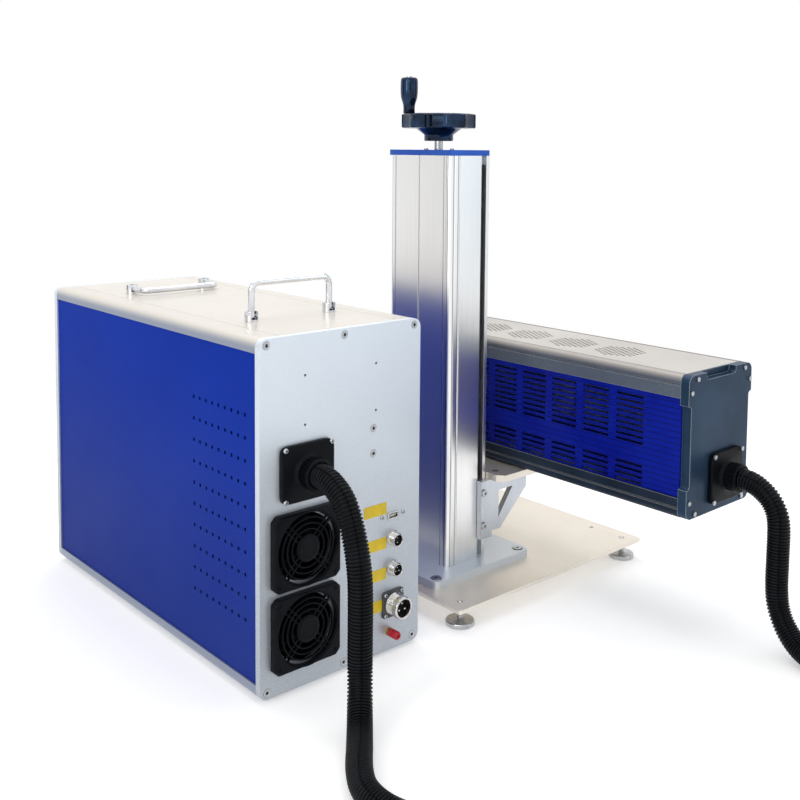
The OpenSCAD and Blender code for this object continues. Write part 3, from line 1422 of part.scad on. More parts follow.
cabinet_pads();
cabinet_rails();
cabinet_top();
cabinet_bottom();
side_panels();
front_plate();
rear_plate();
cabinet_screws();
handle_sockets();
handle_rear();
handle_front();
fan_frames();
fan_rotor_upper();
fan_rotor_lower();
fan_covers();
cabinet_gland();
data_sockets();
power_socket();
earth_post();
earth_cap();
port_labels();
power_supply();
laser_driver();
control_card();
stop_switch();
stop_button();
key_switch();
key();
power_switch();
power_button();
base_plate();
levelling_feet();
column_foot();
column_bolts();
column_profile();
column_cover();
column_top();
end_blocks();
guide_rods();
lead_screw();
handwheel();
wheel_grip();
carriage();
bracket();
shelf();
arm_screws();
arm_rails();
arm_top();
arm_sides();
arm_bottom();
arm_rear_cover();
arm_front_plate();
arm_gland();
laser_tube();
scan_head();
scan_lens();
galvo_motors();
mirror_x();
mirror_y();
hose();
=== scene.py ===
import bmesh
import bpy
import numpy as np
from mathutils import Matrix


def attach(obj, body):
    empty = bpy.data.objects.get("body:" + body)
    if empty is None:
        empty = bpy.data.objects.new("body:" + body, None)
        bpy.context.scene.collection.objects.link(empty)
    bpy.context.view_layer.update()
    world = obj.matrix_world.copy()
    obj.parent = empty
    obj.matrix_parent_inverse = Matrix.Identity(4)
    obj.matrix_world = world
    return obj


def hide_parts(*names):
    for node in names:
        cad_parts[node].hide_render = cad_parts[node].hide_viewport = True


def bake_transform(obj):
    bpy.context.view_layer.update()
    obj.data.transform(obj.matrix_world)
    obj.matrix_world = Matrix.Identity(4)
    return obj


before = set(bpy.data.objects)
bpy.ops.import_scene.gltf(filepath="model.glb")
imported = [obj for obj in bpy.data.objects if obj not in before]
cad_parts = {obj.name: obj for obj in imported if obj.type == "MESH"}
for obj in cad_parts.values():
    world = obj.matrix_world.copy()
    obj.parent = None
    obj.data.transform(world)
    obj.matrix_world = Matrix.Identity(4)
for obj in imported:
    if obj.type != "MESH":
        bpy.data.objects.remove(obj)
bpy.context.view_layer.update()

# The photographer's place: behind the machine on the cabinet's side, a little above the handwheel,
# with a lens shifted down so that the uprights stay nearly parallel. Sizes here are in metres.
CAMERA_AT = (0.9242, 1.0522, 0.6006)
LENS_MM = 46.28
FILM_MM = 36.0
LENS_SHIFT = -0.2168
yaw, pitch, roll = np.radians([41.3761, 4.288, -0.4536])
ahead = np.array([-np.sin(yaw) * np.cos(pitch), -np.cos(yaw) * np.cos(pitch), -np.sin(pitch)])
level = np.array([-np.cos(yaw), np.sin(yaw), 0.0])
down = np.cross(ahead, level)
right = np.cos(roll) * level + np.sin(roll) * down
up = np.sin(roll) * level - np.cos(roll) * down
camera = bpy.data.objects.new("camera", bpy.data.cameras.new("camera"))
bpy.context.scene.collection.objects.link(camera)
pose = np.eye(4)
pose[:3] = np.column_stack([right, up, -ahead, CAMERA_AT])
camera.matrix_world = Matrix(pose)
camera.data.lens = LENS_MM
camera.data.sensor_width = FILM_MM
camera.data.shift_y = LENS_SHIFT
camera.data.clip_end = 60.0
bpy.context.scene.camera = camera
bpy.context.scene.view_settings.view_transform = "Standard"


# The studio: a plain white room with white paper under the machine, a wide lamp overhead, two weaker
# ones on the camera's side and a cool one like a window on its right. The paper keeps the machine's
# shadow near it and turns to plain white farther out.
class Wire:
    """A socket of a shader tree. An operator between wires and numbers adds the Math node for it."""

    def __init__(self, tree, socket):
        self.tree = tree
        self.socket = socket

    def worked(self, operation, *terms):
        return self.tree.node("ShaderNodeMath", {"operation": operation}, dict(enumerate(terms)))

    def __add__(self, other):
        return self.worked("ADD", self, other)

    def __sub__(self, other):
        return self.worked("SUBTRACT", self, other)

    def __rsub__(self, other):
        return self.worked("SUBTRACT", other, self)

    def __mul__(self, other):
        return self.worked("MULTIPLY", self, other)

    def __gt__(self, other):
        return self.worked("GREATER_THAN", self, other)

    def __lt__(self, other):
        return self.worked("LESS_THAN", self, other)

    def __mod__(self, other):
        return self.worked("MODULO", self, other)

    def __abs__(self):
        return self.worked("ABSOLUTE", self)

    __radd__ = __add__
    __rmul__ = __mul__


class Tree:
    """The shader nodes of one material or of the world."""

    def __init__(self, owner):
        owner.use_nodes = True
        self.owner = owner
        self.nodes = owner.node_tree.nodes
        self.nodes.clear()

    def node(self, kind, settings=(), values=(), out=0):
        """Adds a node: its settings first, then a number or a wire for each socket. Gives one output back."""
        made = self.nodes.new(kind)
        for name, value in dict(settings).items():
            setattr(made, name, value)
        for name, value in dict(values).items():
            if isinstance(value, Wire):
                self.owner.node_tree.links.new(value.socket, made.inputs[name])
            else:
                made.inputs[name].default_value = value
        return Wire(self, made.outputs[out]) if made.outputs else None

    def seen(self):
        """1 for rays from the camera, from gloss and through glass, 0 for light that only fills."""
        path = self.node("ShaderNodeLightPath", out="Is Camera Ray")
        gloss = Wire(self, path.socket.node.outputs["Is Glossy Ray"])
        through = Wire(self, path.socket.node.outputs["Is Transmission Ray"])
        total = path + gloss + through
        return total.worked("MINIMUM", total, 1.0)


ROOM_LIGHT = 0.56
room = Tree(bpy.data.worlds.new("studio"))
bpy.context.scene.world = room.owner
sky = room.node("ShaderNodeBackground", {}, {
    "Color": (1.0, 1.0, 1.0, 1.0), "Strength": ROOM_LIGHT + (1.0 - ROOM_LIGHT) * room.seen()})
room.node("ShaderNodeOutputWorld", {}, {"Surface": sky})


def lamp(name, at, aim, width, height, watts, tint=(1.0, 1.0, 1.0)):
    """A soft box at a place, its face turned to the aim, with its width level."""
    light = bpy.data.objects.new(name, bpy.data.lights.new(name, "AREA"))
    bpy.context.scene.collection.objects.link(light)
    back = np.subtract(at, aim) / np.linalg.norm(np.subtract(at, aim))
    across = np.cross((0.0, 1.0, 0.0), back)
    across = across / np.linalg.norm(across)
    stand = np.eye(4)
    stand[:3] = np.column_stack([across, np.cross(back, across), back, at])
    light.matrix_world = Matrix(stand)
    light.data.shape = "RECTANGLE"
    light.data.size = width
    light.data.size_y = height
    light.data.energy = watts
    light.data.color = tint


lamp("overhead_lamp", at=(-0.3, -0.5, 2.4), aim=(0.0, 0.0, 0.2), width=2.4, height=2.4, watts=32.0)
lamp("fill_lamp", at=(2.2, 1.6, 1.3), aim=(0.0, 0.0, 0.3), width=1.6, height=1.6, watts=12.0)
lamp("strip_lamp", at=(2.3, 0.55, 1.25), aim=(0.1, 0.1, 0.4), width=1.5, height=0.14, watts=9.0)
lamp("window_lamp", at=(-2.7, 2.9, 1.1), aim=(0.0, 0.1, 0.4), width=2.0, height=1.5, watts=10.0,
     tint=(0.62, 0.82, 1.0))
CARD_BLACK = (0.02, 0.025, 0.035, 1.0)


def card(name, middle, half_width, half_height, heading):
    """An upright dark sheet that faces the heading, in degrees from +X. Only gloss sees it, and it draws
    the dark lines in bright metal."""
    turn = np.radians(heading + 90.0)
    side = np.array([np.cos(turn), np.sin(turn), 0.0]) * half_width
    rise = np.array([0.0, 0.0, half_height])
    shape = bpy.data.meshes.new(name)
    corners = [middle - side - rise, middle + side - rise, middle + side + rise, middle - side + rise]
    shape.from_pydata([corner.tolist() for corner in corners], [], [(0, 1, 2, 3)])
    dark = Tree(bpy.data.materials.new(name))
    cloth = dark.node("ShaderNodeEmission", {}, {"Color": CARD_BLACK, "Strength": 1.0})
    dark.node("ShaderNodeOutputMaterial", {}, {"Surface": cloth})
    shape.materials.append(dark.owner)
    made = bpy.data.objects.new(name, shape)
    bpy.context.scene.collection.objects.link(made)
    made.visible_camera = False
    made.visible_diffuse = False
    made.visible_shadow = False
    made.visible_transmission = False


card("near_card", np.array([2.6, 2.9, 0.95]), 1.3, 0.34, 228.0)
card("side_card", np.array([2.6, -1.6, 0.85]), 0.45, 0.85, 150.0)
card("far_card", np.array([-2.4, 1.9, 0.9]), 0.35, 0.9, 322.0)

FLOOR_HALF = 14.0
FLOOR_UNDER = 0.0004
FLOOR_FADE = (0.85, 1.5)
FLOOR_LIFT = 0.33
PAPER_WHITE = (0.93, 0.93, 0.93, 1.0)
paper = Tree(bpy.data.materials.new("floor_paper"))
matt = paper.node("ShaderNodeBsdfDiffuse", {}, {"Color": PAPER_WHITE})
lift = paper.node("ShaderNodeEmission", {}, {"Strength": FLOOR_LIFT * paper.seen()})
near = paper.node("ShaderNodeAddShader", {}, {0: matt, 1: lift})
plain = paper.node("ShaderNodeEmission", {}, {"Strength": 1.0})
floor_place = paper.node("ShaderNodeTexCoord", out="Object")
distance = paper.node("ShaderNodeVectorMath", {"operation": "LENGTH"}, {0: floor_place}, out="Value")
away = paper.node("ShaderNodeMapRange", {"interpolation_type": "SMOOTHSTEP"},
                  {"Value": distance, "From Min": FLOOR_FADE[0], "From Max": FLOOR_FADE[1]})
sheet = paper.node("ShaderNodeMixShader", {}, {0: away, 1: near, 2: plain})
paper.node("ShaderNodeOutputMaterial", {}, {"Surface": sheet})
floor_mesh = bpy.data.meshes.new("floor")
floor_mesh.from_pydata([(-FLOOR_HALF, -FLOOR_HALF, 0), (FLOOR_HALF, -FLOOR_HALF, 0),
                        (FLOOR_HALF, FLOOR_HALF, 0), (-FLOOR_HALF, FLOOR_HALF, 0)], [], [(0, 1, 2, 3)])
floor_mesh.materials.append(paper.owner)
floor = bpy.data.objects.new("floor", floor_mesh)
bpy.context.scene.collection.objects.link(floor)
floor.location.z = -FLOOR_UNDER


# Ribbed hose between cabinet and arm: black polyamide conduit of 27 mm with a slit along it, for the
# cables. It drops out of the cabinet's collar, lies on the floor in a wide loop and climbs to the arm.
# From here on sizes are in millimetres, and surface() turns them into metres.
MM = 0.001


def tone(red, green, blue):
    """A colour as a picture shows it, 0 to 255, turned into the shader's own linear scale."""
    part = np.array([red, green, blue]) / 255.0
    linear = np.where(part <= 0.04045, part / 12.92, ((part + 0.055) / 1.055) ** 2.4)
    return (*linear.tolist(), 1.0)


class Finish(Tree):
    """A material round one Principled shader. Patterns read Object coordinates, in metres."""

    def __init__(self, name, **sockets):
        super().__init__(bpy.data.materials.new(name))
        names = {"metal": "Metallic", "rough": "Roughness", "gloss": "Specular IOR Level", "ior": "IOR",
                 "coat": "Coat Weight", "coat_rough": "Coat Roughness", "clear": "Transmission Weight"}
        self.shader = self.node("ShaderNodeBsdfPrincipled", {}, {names[k]: v for k, v in sockets.items()})
        self.node("ShaderNodeOutputMaterial", {}, {"Surface": self.shader})
        self.place = self.node("ShaderNodeTexCoord", out="Object")

    def feed(self, socket, wire):
        self.owner.node_tree.links.new(wire.socket, self.shader.socket.node.inputs[socket])
        return self

    def spots(self, size, stretch=(1.0, 1.0, 1.0), detail=2.0):
        """Soft random spots, 0 to 1 and about this many millimetres wide, drawn out by the stretch."""
        spread = tuple(size * MM * s for s in stretch)
        place = self.node("ShaderNodeVectorMath", {"operation": "DIVIDE"}, {0: self.place, 1: spread})
        return self.node("ShaderNodeTexNoise", {}, {"Vector": place, "Scale": 1.0, "Detail": detail})

    def eased(self, wire, low, high):
        """0 where the wire is below low, 1 above high, with a soft step between."""
        return self.node("ShaderNodeMapRange", {"interpolation_type": "SMOOTHSTEP"},
                         {"Value": wire, "From Min": low, "From Max": high})

    def gap(self, wire, first, second):
        """How far the wire is from the nearer of two values."""
        return wire.worked("MINIMUM", abs(wire - first), abs(wire - second))

    def part(self, axis):
        """One coordinate of the place, in millimetres."""
        split = self.node("ShaderNodeSeparateXYZ", {}, {0: self.place}, out="XYZ".index(axis))
        return split * (1.0 / MM)

    def blended(self, share, first, second):
        """The first colour where share is 0, the second where it is 1. Each may be a wire."""
        return self.node("ShaderNodeMix", {"data_type": "RGBA"}, {0: share, 6: first, 7: second}, out=2)

    def edges(self, width):
        """1 beside the sharp edges, falling to 0 this many millimetres away."""
        soft = self.node("ShaderNodeBevel", {"samples": 8}, {"Radius": width * MM})
        plain = self.node("ShaderNodeNewGeometry", out="Normal")
        match = self.node("ShaderNodeVectorMath", {"operation": "DOT_PRODUCT"}, {0: soft, 1: plain}, "Value")
        return self.eased(1.0 - match, 0.01, 0.16)

    def clouds(self, size, first, second, low=0.35, high=0.7, detail=2.0):
        """The first colour with clouds of the second, this many millimetres wide."""
        return self.blended(self.eased(self.spots(size, detail=detail), low, high), first, second)

    def tint(self, share, first, second):
        return self.feed("Base Color", self.blended(share, first, second))

    def mottle(self, *terms, **more):
        """Gives the piece the clouds of two colours that these terms describe."""
        return self.feed("Base Color", self.clouds(*terms, **more))

    def relief(self, height, depth, edge=0.0):
        """Bumps of this depth in millimetres from a height of 0 to 1; edge also rounds the sharp edges."""
        values = {"Distance": depth * MM, "Height": height}
        if edge:
            values["Normal"] = self.node("ShaderNodeBevel", {"samples": 6}, {"Radius": edge * MM})
        return self.feed("Normal", self.node("ShaderNodeBump", {}, values))


def surface(name, sheets, finish, body, sharp=35.0):
    """Joins sheets of points, each a grid of rows by columns, into one closed piece that rides on a body.
    Four neighbours make a face, points that meet become one, faces are turned outwards, and where two
    faces turn by more than sharp degrees they keep an edge."""
    points, faces, start = [], [], 0
    for sheet in sheets:
        rows, columns = sheet.shape[:2]
        index = start + np.arange(rows * columns).reshape(rows, columns)
        corners = [index[:-1, :-1], index[:-1, 1:], index[1:, 1:], index[1:, :-1]]
        faces.append(np.stack(corners, axis=-1).reshape(-1, 4))
        points.append(sheet.reshape(-1, 3))
        start += rows * columns
    mesh = bpy.data.meshes.new(name)
    mesh.from_pydata((np.concatenate(points) * MM).tolist(), [], np.concatenate(faces).tolist())
    shape = bmesh.new()
    shape.from_mesh(mesh)
    bmesh.ops.remove_doubles(shape, verts=shape.verts, dist=1e-6)
    bmesh.ops.recalc_face_normals(shape, faces=shape.faces)
    shape.to_mesh(mesh)
    shape.free()
    mesh.shade_smooth()
    mesh.set_sharp_from_angle(angle=np.radians(sharp))
    mesh.materials.append(finish.owner)
    piece = bpy.data.objects.new(name, mesh)
    bpy.context.scene.collection.objects.link(piece)
    if body:
        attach(piece, body)
    return piece


def unit(vectors):
    """The vectors, each divided by its length."""
    return vectors / np.linalg.norm(vectors, axis=-1, keepdims=True)


HOSE_R = 13.5
RIB_PITCH = 3.75
RIB_PHASES = np.array([0.0, 0.16, 0.30, 0.50, 0.64, 0.80])
RIB_RADII = HOSE_R - np.array([1.7, 0.4, 0.0, 0.0, 0.4, 1.7])
SLIT_HALF = 2.2
SLIT_LIP_SHARE = 1.7
SLIT_DEPTH = 1.3
SLIT_TURN = 259.0
HOSE_SLANT = unit(np.array([1.0, 1.0, 1.0]))
HOSE_ROUTE = np.array([
    (268, 160, 248), (268, 171, 248), (268, 182, 248), (268, 189.5, 247.5), (268, 201.4, 244.4),
    (268, 218.1, 234.1), (268, 230.1, 218.5), (268, 240.9, 192.4), (268, 247.5, 165), (268, 249.7, 136.8),
    (268, 249.7, 76), (271, 253.4, 52.3), (279.5, 263.8, 32.2), (292.2, 279.4, 18.7), (307.3, 297.7, 14),
    (333.8, 330.2, 14), (348.4, 357.4, 14), (351.6, 387.9, 14), (343, 417.5, 14), (324, 441.6, 14),
    (266.6, 490.8, 14), (209.2, 540, 14), (151.8, 589.2, 14), (94.4, 638.4, 14), (67, 653.8, 14),
    (35.7, 657.3, 14), (5.4, 648.6, 14), (-47.6, 621, 14), (-100.7, 593.3, 14), (-153.8, 565.7, 14),
    (-179.4, 545.2, 14), (-195.4, 516.6, 14), (-197.8, 509, 14), (-205.2, 486.4, 18.7),
    (-211.4, 467.3, 32.2), (-215.5, 454.5, 52.3), (-217, 450, 76), (-217, 450, 113), (-217, 450, 150),
    (-217, 446.3, 168.4), (-217, 435.9, 183.9), (-217, 420.4, 194.3), (-217, 408.7, 197.5),
    (-217, 402, 198), (-217, 391, 198), (-217, 380, 198)], float)


def through(route, steps=24):
    """A smooth line through the points: a cubic in t from each point b to the next one, c. Its slope at a
    point is half of the way from the point before it to the point after it."""
    ends = np.vstack([2 * route[0] - route[1], route, 2 * route[-1] - route[-2]])
    a, b, c, d = (ends[i:len(ends) - 3 + i, None] for i in range(4))
    t = np.linspace(0.0, 1.0, steps, endpoint=False)[None, :, None]
    line = 0.5 * (2 * b + (c - a) * t + (2 * a - 5 * b + 4 * c - d) * t ** 2
                  + (3 * b - a - 3 * c + d) * t ** 3)
    return np.vstack([line.reshape(-1, 3), route[-1:]])


def along(line, stations):
    """The points of a line at these distances from its start, on the straight steps between its points."""
    run = np.concatenate([[0.0], np.cumsum(np.linalg.norm(np.diff(line, axis=0), axis=1))])
    return np.column_stack([np.interp(stations, run, line[:, axis]) for axis in range(3)])


def closed_ends(sheet):
    """The sheet with its first and last rows drawn in to their middles, which closes a tube."""
    first, last = (np.broadcast_to(row[:-1].mean(axis=0), row.shape)[None] for row in (sheet[0], sheet[-1]))
    return np.concatenate([first, sheet, last])


# The skin of the hose: round each station of the line lies a ring with the rib's radius there. Its points
# are the middle plus cosine and sine of the turn along two directions across the line, and the two
# points of the slit dip in.
hose_line = through(HOSE_ROUTE)
hose_length = np.linalg.norm(np.diff(hose_line, axis=0), axis=1).sum()
rib_count = int(hose_length / RIB_PITCH)
stations = ((np.arange(rib_count)[:, None] + RIB_PHASES) * hose_length / rib_count).ravel()
stations = np.append(stations, hose_length)
radii = np.append(np.tile(RIB_RADII, rib_count), RIB_RADII[0])
middles = along(hose_line, stations)
tangents = unit(np.gradient(middles, axis=0))
sideways = unit(np.cross(tangents, HOSE_SLANT))
upwards = np.cross(tangents, sideways)
slit = SLIT_HALF * np.array([-SLIT_LIP_SHARE, -1.0, 1.0, SLIT_LIP_SHARE])
turns = np.radians(SLIT_TURN + np.concatenate([slit, np.linspace(18.0, 342.0, 19), 360.0 + slit[:1]]))
dip = np.zeros(len(turns))
dip[1:3] = SLIT_DEPTH
reach = (radii[:, None] - dip)[..., None]
hose_sheet = middles[:, None] + reach * (np.cos(turns)[:, None] * sideways[:, None]
                                         + np.sin(turns)[:, None] * upwards[:, None])

# Polyamide: deep black and half gloss, with a breath of dust in soft patches.
hose_finish = Finish("hose_polyamide", rough=0.34, gloss=0.12)
dust = hose_finish.eased(hose_finish.spots(26.0, detail=4.0), 0.45, 0.75)
hose_finish.tint(dust, tone(6, 9, 13), tone(17, 20, 26))
hose_finish.feed("Roughness", 0.30 + 0.16 * dust)
hose_finish.relief(hose_finish.spots(0.7), 0.03)
hose = surface("ribbed_hose", [closed_ends(hose_sheet)], hose_finish, None, sharp=50.0)
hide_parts("hose")
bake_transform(hose)


# Cabinet casing: a top panel of sheet steel with a warm white satin powder coat, and four corner rails of
# extruded aluminium that hold the panels. The rails and the bottom panel are grey, and the upper rails'
# rounded top corners, where they meet the top, carry a painted highlight in the top's cream white.
RAIL_HIGHLIGHT_Z = (388.0, 399.0)


def dress(finish, *names):
    """Gives CAD nodes this finish."""
    for name in names:
        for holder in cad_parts[name].material_slots:
            holder.material = finish.owner


def powder(name, first, second, rough):
    """Baked powder coat: two close shades in wide soft clouds and a fine orange peel."""
    made = Finish(name, gloss=0.4)
    made.mottle(120.0, first, second, 0.3, 0.7, detail=3.0)
    made.feed("Roughness", rough + 0.08 * made.spots(40.0))
    return made.relief(made.spots(1.4), 0.006, 0.8)


casing = powder("cream_powder", tone(228, 221, 211), tone(221, 215, 206), rough=0.20)
rail_coat = Finish("rail_anodised", metal=0.45, gloss=0.4)
# Painted highlight: the band at the rails' rounded top corners is painted cream like the top.
rail_coat.tint(rail_coat.eased(rail_coat.part("Z"), *RAIL_HIGHLIGHT_Z), tone(144, 153, 170), tone(226, 220, 211))
rail_coat.feed("Roughness", 0.26 + 0.12 * rail_coat.spots(30.0))
rail_coat.relief(rail_coat.spots(0.5, (1.0, 200.0, 1.0)), 0.006, 0.8)
dress(casing, "cabinet_top")
dress(rail_coat, "cabinet_rails", "cabinet_bottom")

# Side panels: sheet steel with a deep blue coat, slid into the rails' grooves, with rows of round vents.
# They are ultramarine, a little greyer towards the floor, where a painted reflection of the floor lies on
# them.
FLOOR_REFLECTION_Z = (10.0, 400.0)
CLOUD_SHARE = 0.3
panel_blue = Finish("panel_powder", gloss=0.03)
# Painted reflection of the floor: the blue turns greyer from the top down to the floor.
rise = panel_blue.eased(panel_blue.part("Z"), *FLOOR_REFLECTION_Z)
deep = panel_blue.blended(rise, tone(36, 56, 140), tone(4, 50, 162))
breath = panel_blue.eased(panel_blue.spots(160.0, detail=3.0), 0.3, 0.7)
panel_blue.tint(CLOUD_SHARE * breath, deep, tone(6, 38, 136))
panel_blue.feed("Roughness", 0.38 + 0.10 * panel_blue.spots(50.0))
panel_blue.relief(panel_blue.spots(0.9), 0.01, 0.5)
dress(panel_blue, "side_panels")

# Front and rear plates: 4 mm aluminium, bead blasted and clear anodised, with fine near-white specks
# painted on as glints. They are screwed to the ends of the rails, and painted shade darkens them towards
# the floor.
REAR_Y = 154.0
FRONT_Y = -371.0
blasted = Finish("blasted_aluminium", metal=0.72, gloss=0.5)
grain_and_glints = blasted.spots(0.9, detail=4.0)
haze = blasted.eased(blasted.spots(90.0, detail=3.0), 0.3, 0.7)
# Painted shade: the plates turn darker from the top down towards the floor.
floor_shade_share = blasted.eased(blasted.part("Z") + 30.0 * haze, 20.0, 430.0)
base = blasted.blended(floor_shade_share, tone(176, 182, 190), tone(220, 228, 236))
# Painted glints: near-white specks where the fine grain is high.
blasted.tint(0.45 * blasted.eased(grain_and_glints, 0.46, 0.70), base, tone(248, 252, 255))
blasted.feed("Roughness", 0.40 + 0.14 * grain_and_glints)
blasted.relief(blasted.spots(0.45), 0.03, 0.5)
dress(blasted, "front_plate", "rear_plate")

# Can of the power supply: folded steel sheet, zinc plated, slightly warm and cloudy. The levelling feet
# and the grip's pin have the same finish.
zinc = Finish("bright_zinc", metal=1.0)
zinc.mottle(6.0, tone(196, 197, 196), tone(172, 175, 180), detail=3.0)
zinc.feed("Roughness", 0.22 + 0.16 * zinc.spots(2.0))
zinc.relief(zinc.spots(0.5), 0.02, 0.35)
dress(zinc, "power_supply")

# Pads under the cabinet: four pads of moulded black rubber, matt and a little dusty, which carry the
# cabinet on the bench.
rubber = Finish("pad_rubber", rough=0.72)
rubber.mottle(9.0, tone(30, 30, 31), tone(58, 57, 56), 0.4, 0.75, detail=4.0)
rubber.relief(rubber.spots(0.8), 0.08, 0.6)
dress(rubber, "cabinet_pads")

# Carrying handles: 8 mm steel rod, bent, chrome plated and polished, and pinned in two turned sockets
# each. The rear one stands raised and the front one lies folded on the top.
chrome = Finish("chrome_plate", metal=1.0)
chrome.mottle(30.0, tone(232, 233, 236), tone(214, 217, 222), 0.3, 0.7)
chrome.feed("Roughness", 0.05 + 0.06 * chrome.spots(8.0, detail=3.0))
chrome.relief(chrome.spots(4.0), 0.01, 0.5)
dress(chrome, "handle_sockets", "handle_rear", "handle_front")

# Inside the cabinet: supply in a zinc can, laser driver in a ribbed slate case, control card with its
# green solder mask. They show only through the vents.
driver_coat = powder("driver_coat", tone(70, 80, 92), tone(58, 68, 80), rough=0.45)
dress(driver_coat, "laser_driver")
mask = Finish("solder_mask", rough=0.35, coat=0.3)
mask.mottle(5.0, tone(20, 88, 48), tone(34, 112, 60), 0.45, 0.6, detail=4.0)
mask.relief(mask.spots(1.2), 0.05, 0.3)
dress(mask, "control_card")


# Glands: glass-filled nylon flanges with a fluted collar, one on the cabinet and one on the arm, each
# held by four screws. The hose pushes into the collar.
GLAND_X, GLAND_Z = 268.0, 248.0
GLAND_T = 6.0
BEAM_GLAND = (-217.0, 374.0, 198.0)
GLAND_SCREWS = [(x, z) for x in (-31.0, 31.0) for z in (-28.5, 28.5)]
# For a thing that faces each way, the unit vectors across it, up it and out of it.
FACINGS = {"+Y": [(-1, 0, 0), (0, 0, 1), (0, 1, 0)],
           "-Y": [(1, 0, 0), (0, 0, 1), (0, -1, 0)],
           "+Z": [(1, 0, 0), (0, 1, 0), (0, 0, 1)]}


def turned(at, facing, rows, count=48, ends=True):
    """A surface turned round an axis through the place: each row is a ring at its height, with its radius
    times the cosine and the sine of the angle across the axis. The radius may be an outline, a function
    of the angle. With ends, the first and last rows are closed."""
    across, upward, outward = np.array(FACINGS[facing], float)
    angle = np.linspace(0.0, 2.0 * np.pi, count + 1)
    outlines = [radius(angle) if callable(radius) else radius for height, radius in rows]
    radii = np.stack([np.broadcast_to(outline, angle.shape) for outline in outlines])
    heights = np.array([height for height, radius in rows], float)[:, None, None]
    sheet = np.array(at, float) + heights * outward + radii[..., None] * (
        np.cos(angle)[:, None] * across + np.sin(angle)[:, None] * upward)
    return closed_ends(sheet) if ends else sheet


def oblong(half_width, half_height, power=9.0):
    """Outline of a rectangle with rounded corners: cosine over half width and sine over half height are
    raised to a power and added up, and one over the same root of that sum is the radius."""
    def radius(a):
        width, height = np.abs(np.cos(a) / half_width), np.abs(np.sin(a) / half_height)
        return (width ** power + height ** power) ** (-1 / power)
    return radius


def cross(reach, half):
    """Outline of a cross recess: in an arm the radius is the smaller of its reach over the cosine and its
    half width over the sine, and of the two arms the farther one counts."""
    def radius(a):
        c, s = np.maximum(np.abs(np.cos(a)), 1e-6), np.maximum(np.abs(np.sin(a)), 1e-6)
        return np.maximum(np.minimum(reach / c, half / s), np.minimum(reach / s, half / c))
    return radius


def hexagon(flat):
    """Outline of a hexagon: half its width over the cosine of the angle from the nearest flat's middle."""
    return lambda a: flat / np.cos((a + np.pi / 6) % (np.pi / 3) - np.pi / 6)


def pan_screw(at, facing, radius, height):
    """A pan head with a cross recess."""
    mark = cross(radius * 0.62, radius * 0.17)
    tip = cross(radius * 0.4, radius * 0.1)
    return turned(at, facing, [(-0.5, radius), (height * 0.45, radius), (height * 0.8, radius * 0.86),
                               (height, radius * 0.66), (height, mark), (height * 0.35, tip)])


def gland(at, facing):
    """Flange and fluted collar, in millimetres out of the plate. The flutes go in by the squared sine of
    ten times the angle."""
    flutes = lambda a: 17.7 - 0.9 * np.sin(10.0 * a) ** 2
    outer, inner, top = oblong(35.5, 32.0), oblong(34.3, 30.8), oblong(32.5, 29.0)
    flange = [(0.0, outer), (4.7, outer), (5.7, inner), (GLAND_T, top), (GLAND_T, 21.5)]
    collar = [(6.6, 20.0), (8.0, 18.6), (9.5, flutes), (20.0, flutes), (20.6, 17.8), (24.8, 17.8),
              (25.7, 17.2), (26.0, 16.2), (26.0, 14.6), (25.2, 13.9), (3.0, 13.9)]
    return turned(at, facing, flange + collar, 144)


moulded = Finish("black_nylon", gloss=0.10)
moulded.mottle(22.0, tone(5, 7, 12), tone(13, 16, 23), 0.4, 0.75, detail=4.0)
moulded.feed("Roughness", 0.34 + 0.16 * moulded.spots(9.0))
moulded.relief(moulded.spots(0.7), 0.05, 0.4)
for name, body, node, middle in (("rear_gland", "stand", "cabinet_gland", (GLAND_X, REAR_Y, GLAND_Z)),
                                 ("beam_gland", "arm", "arm_gland", BEAM_GLAND)):
    piece = surface(name, [gland(middle, "+Y")], moulded, body, sharp=30.0)
    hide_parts(node)

# Screws of the cabinet: countersunk ones with a hexagon socket in the plates, a hair below the face, and
# pan heads with a cross recess on the gland and the sockets. All are zinc plated, and their hollows are
# darkened with painted shade.
shade_hollowed_zinc = Finish("waxed_zinc", metal=1.0)
# Painted shade: the hollows that occlusion finds are painted near black.
hollow = shade_hollowed_zinc.node("ShaderNodeAmbientOcclusion", {"samples": 6}, {"Distance": 3.0 * MM}, out="AO")
shade_hollowed_zinc.tint(shade_hollowed_zinc.eased(hollow, 0.25, 0.8), tone(26, 28, 31), tone(186, 189, 192))
shade_hollowed_zinc.feed("Roughness", 0.26 + 0.16 * shade_hollowed_zinc.spots(2.0))
shade_hollowed_zinc.relief(shade_hollowed_zinc.spots(0.5), 0.01, 0.3)
dress(shade_hollowed_zinc, "column_bolts", "arm_screws")
PORT_X = 141.0
POWER_Z, POWER_FLANGE_T, POWER_SCREW = 61.0, 3.2, 12.5
DATA_Z, DATA_SCREW_X = 168.0, 16.5
PLATE_X, PLATE_HALF = 214.0, 105.5
PLATE_SCREW_Z = (11.5, 392.5)
SPARE_SCREW_X, SPARE_SCREW_Z = 171.0, (248.0, 278.0)


def sunk_screw(at, facing):
    """A countersunk head flush with its plate, with its shank behind it."""
    return turned(at, facing, [(-16.0, 2.5), (-2.7, 2.5), (-0.5, 4.5), (-0.15, 4.35), (-0.15, hexagon(1.9)),
                               (-2.3, hexagon(1.8))], 72)


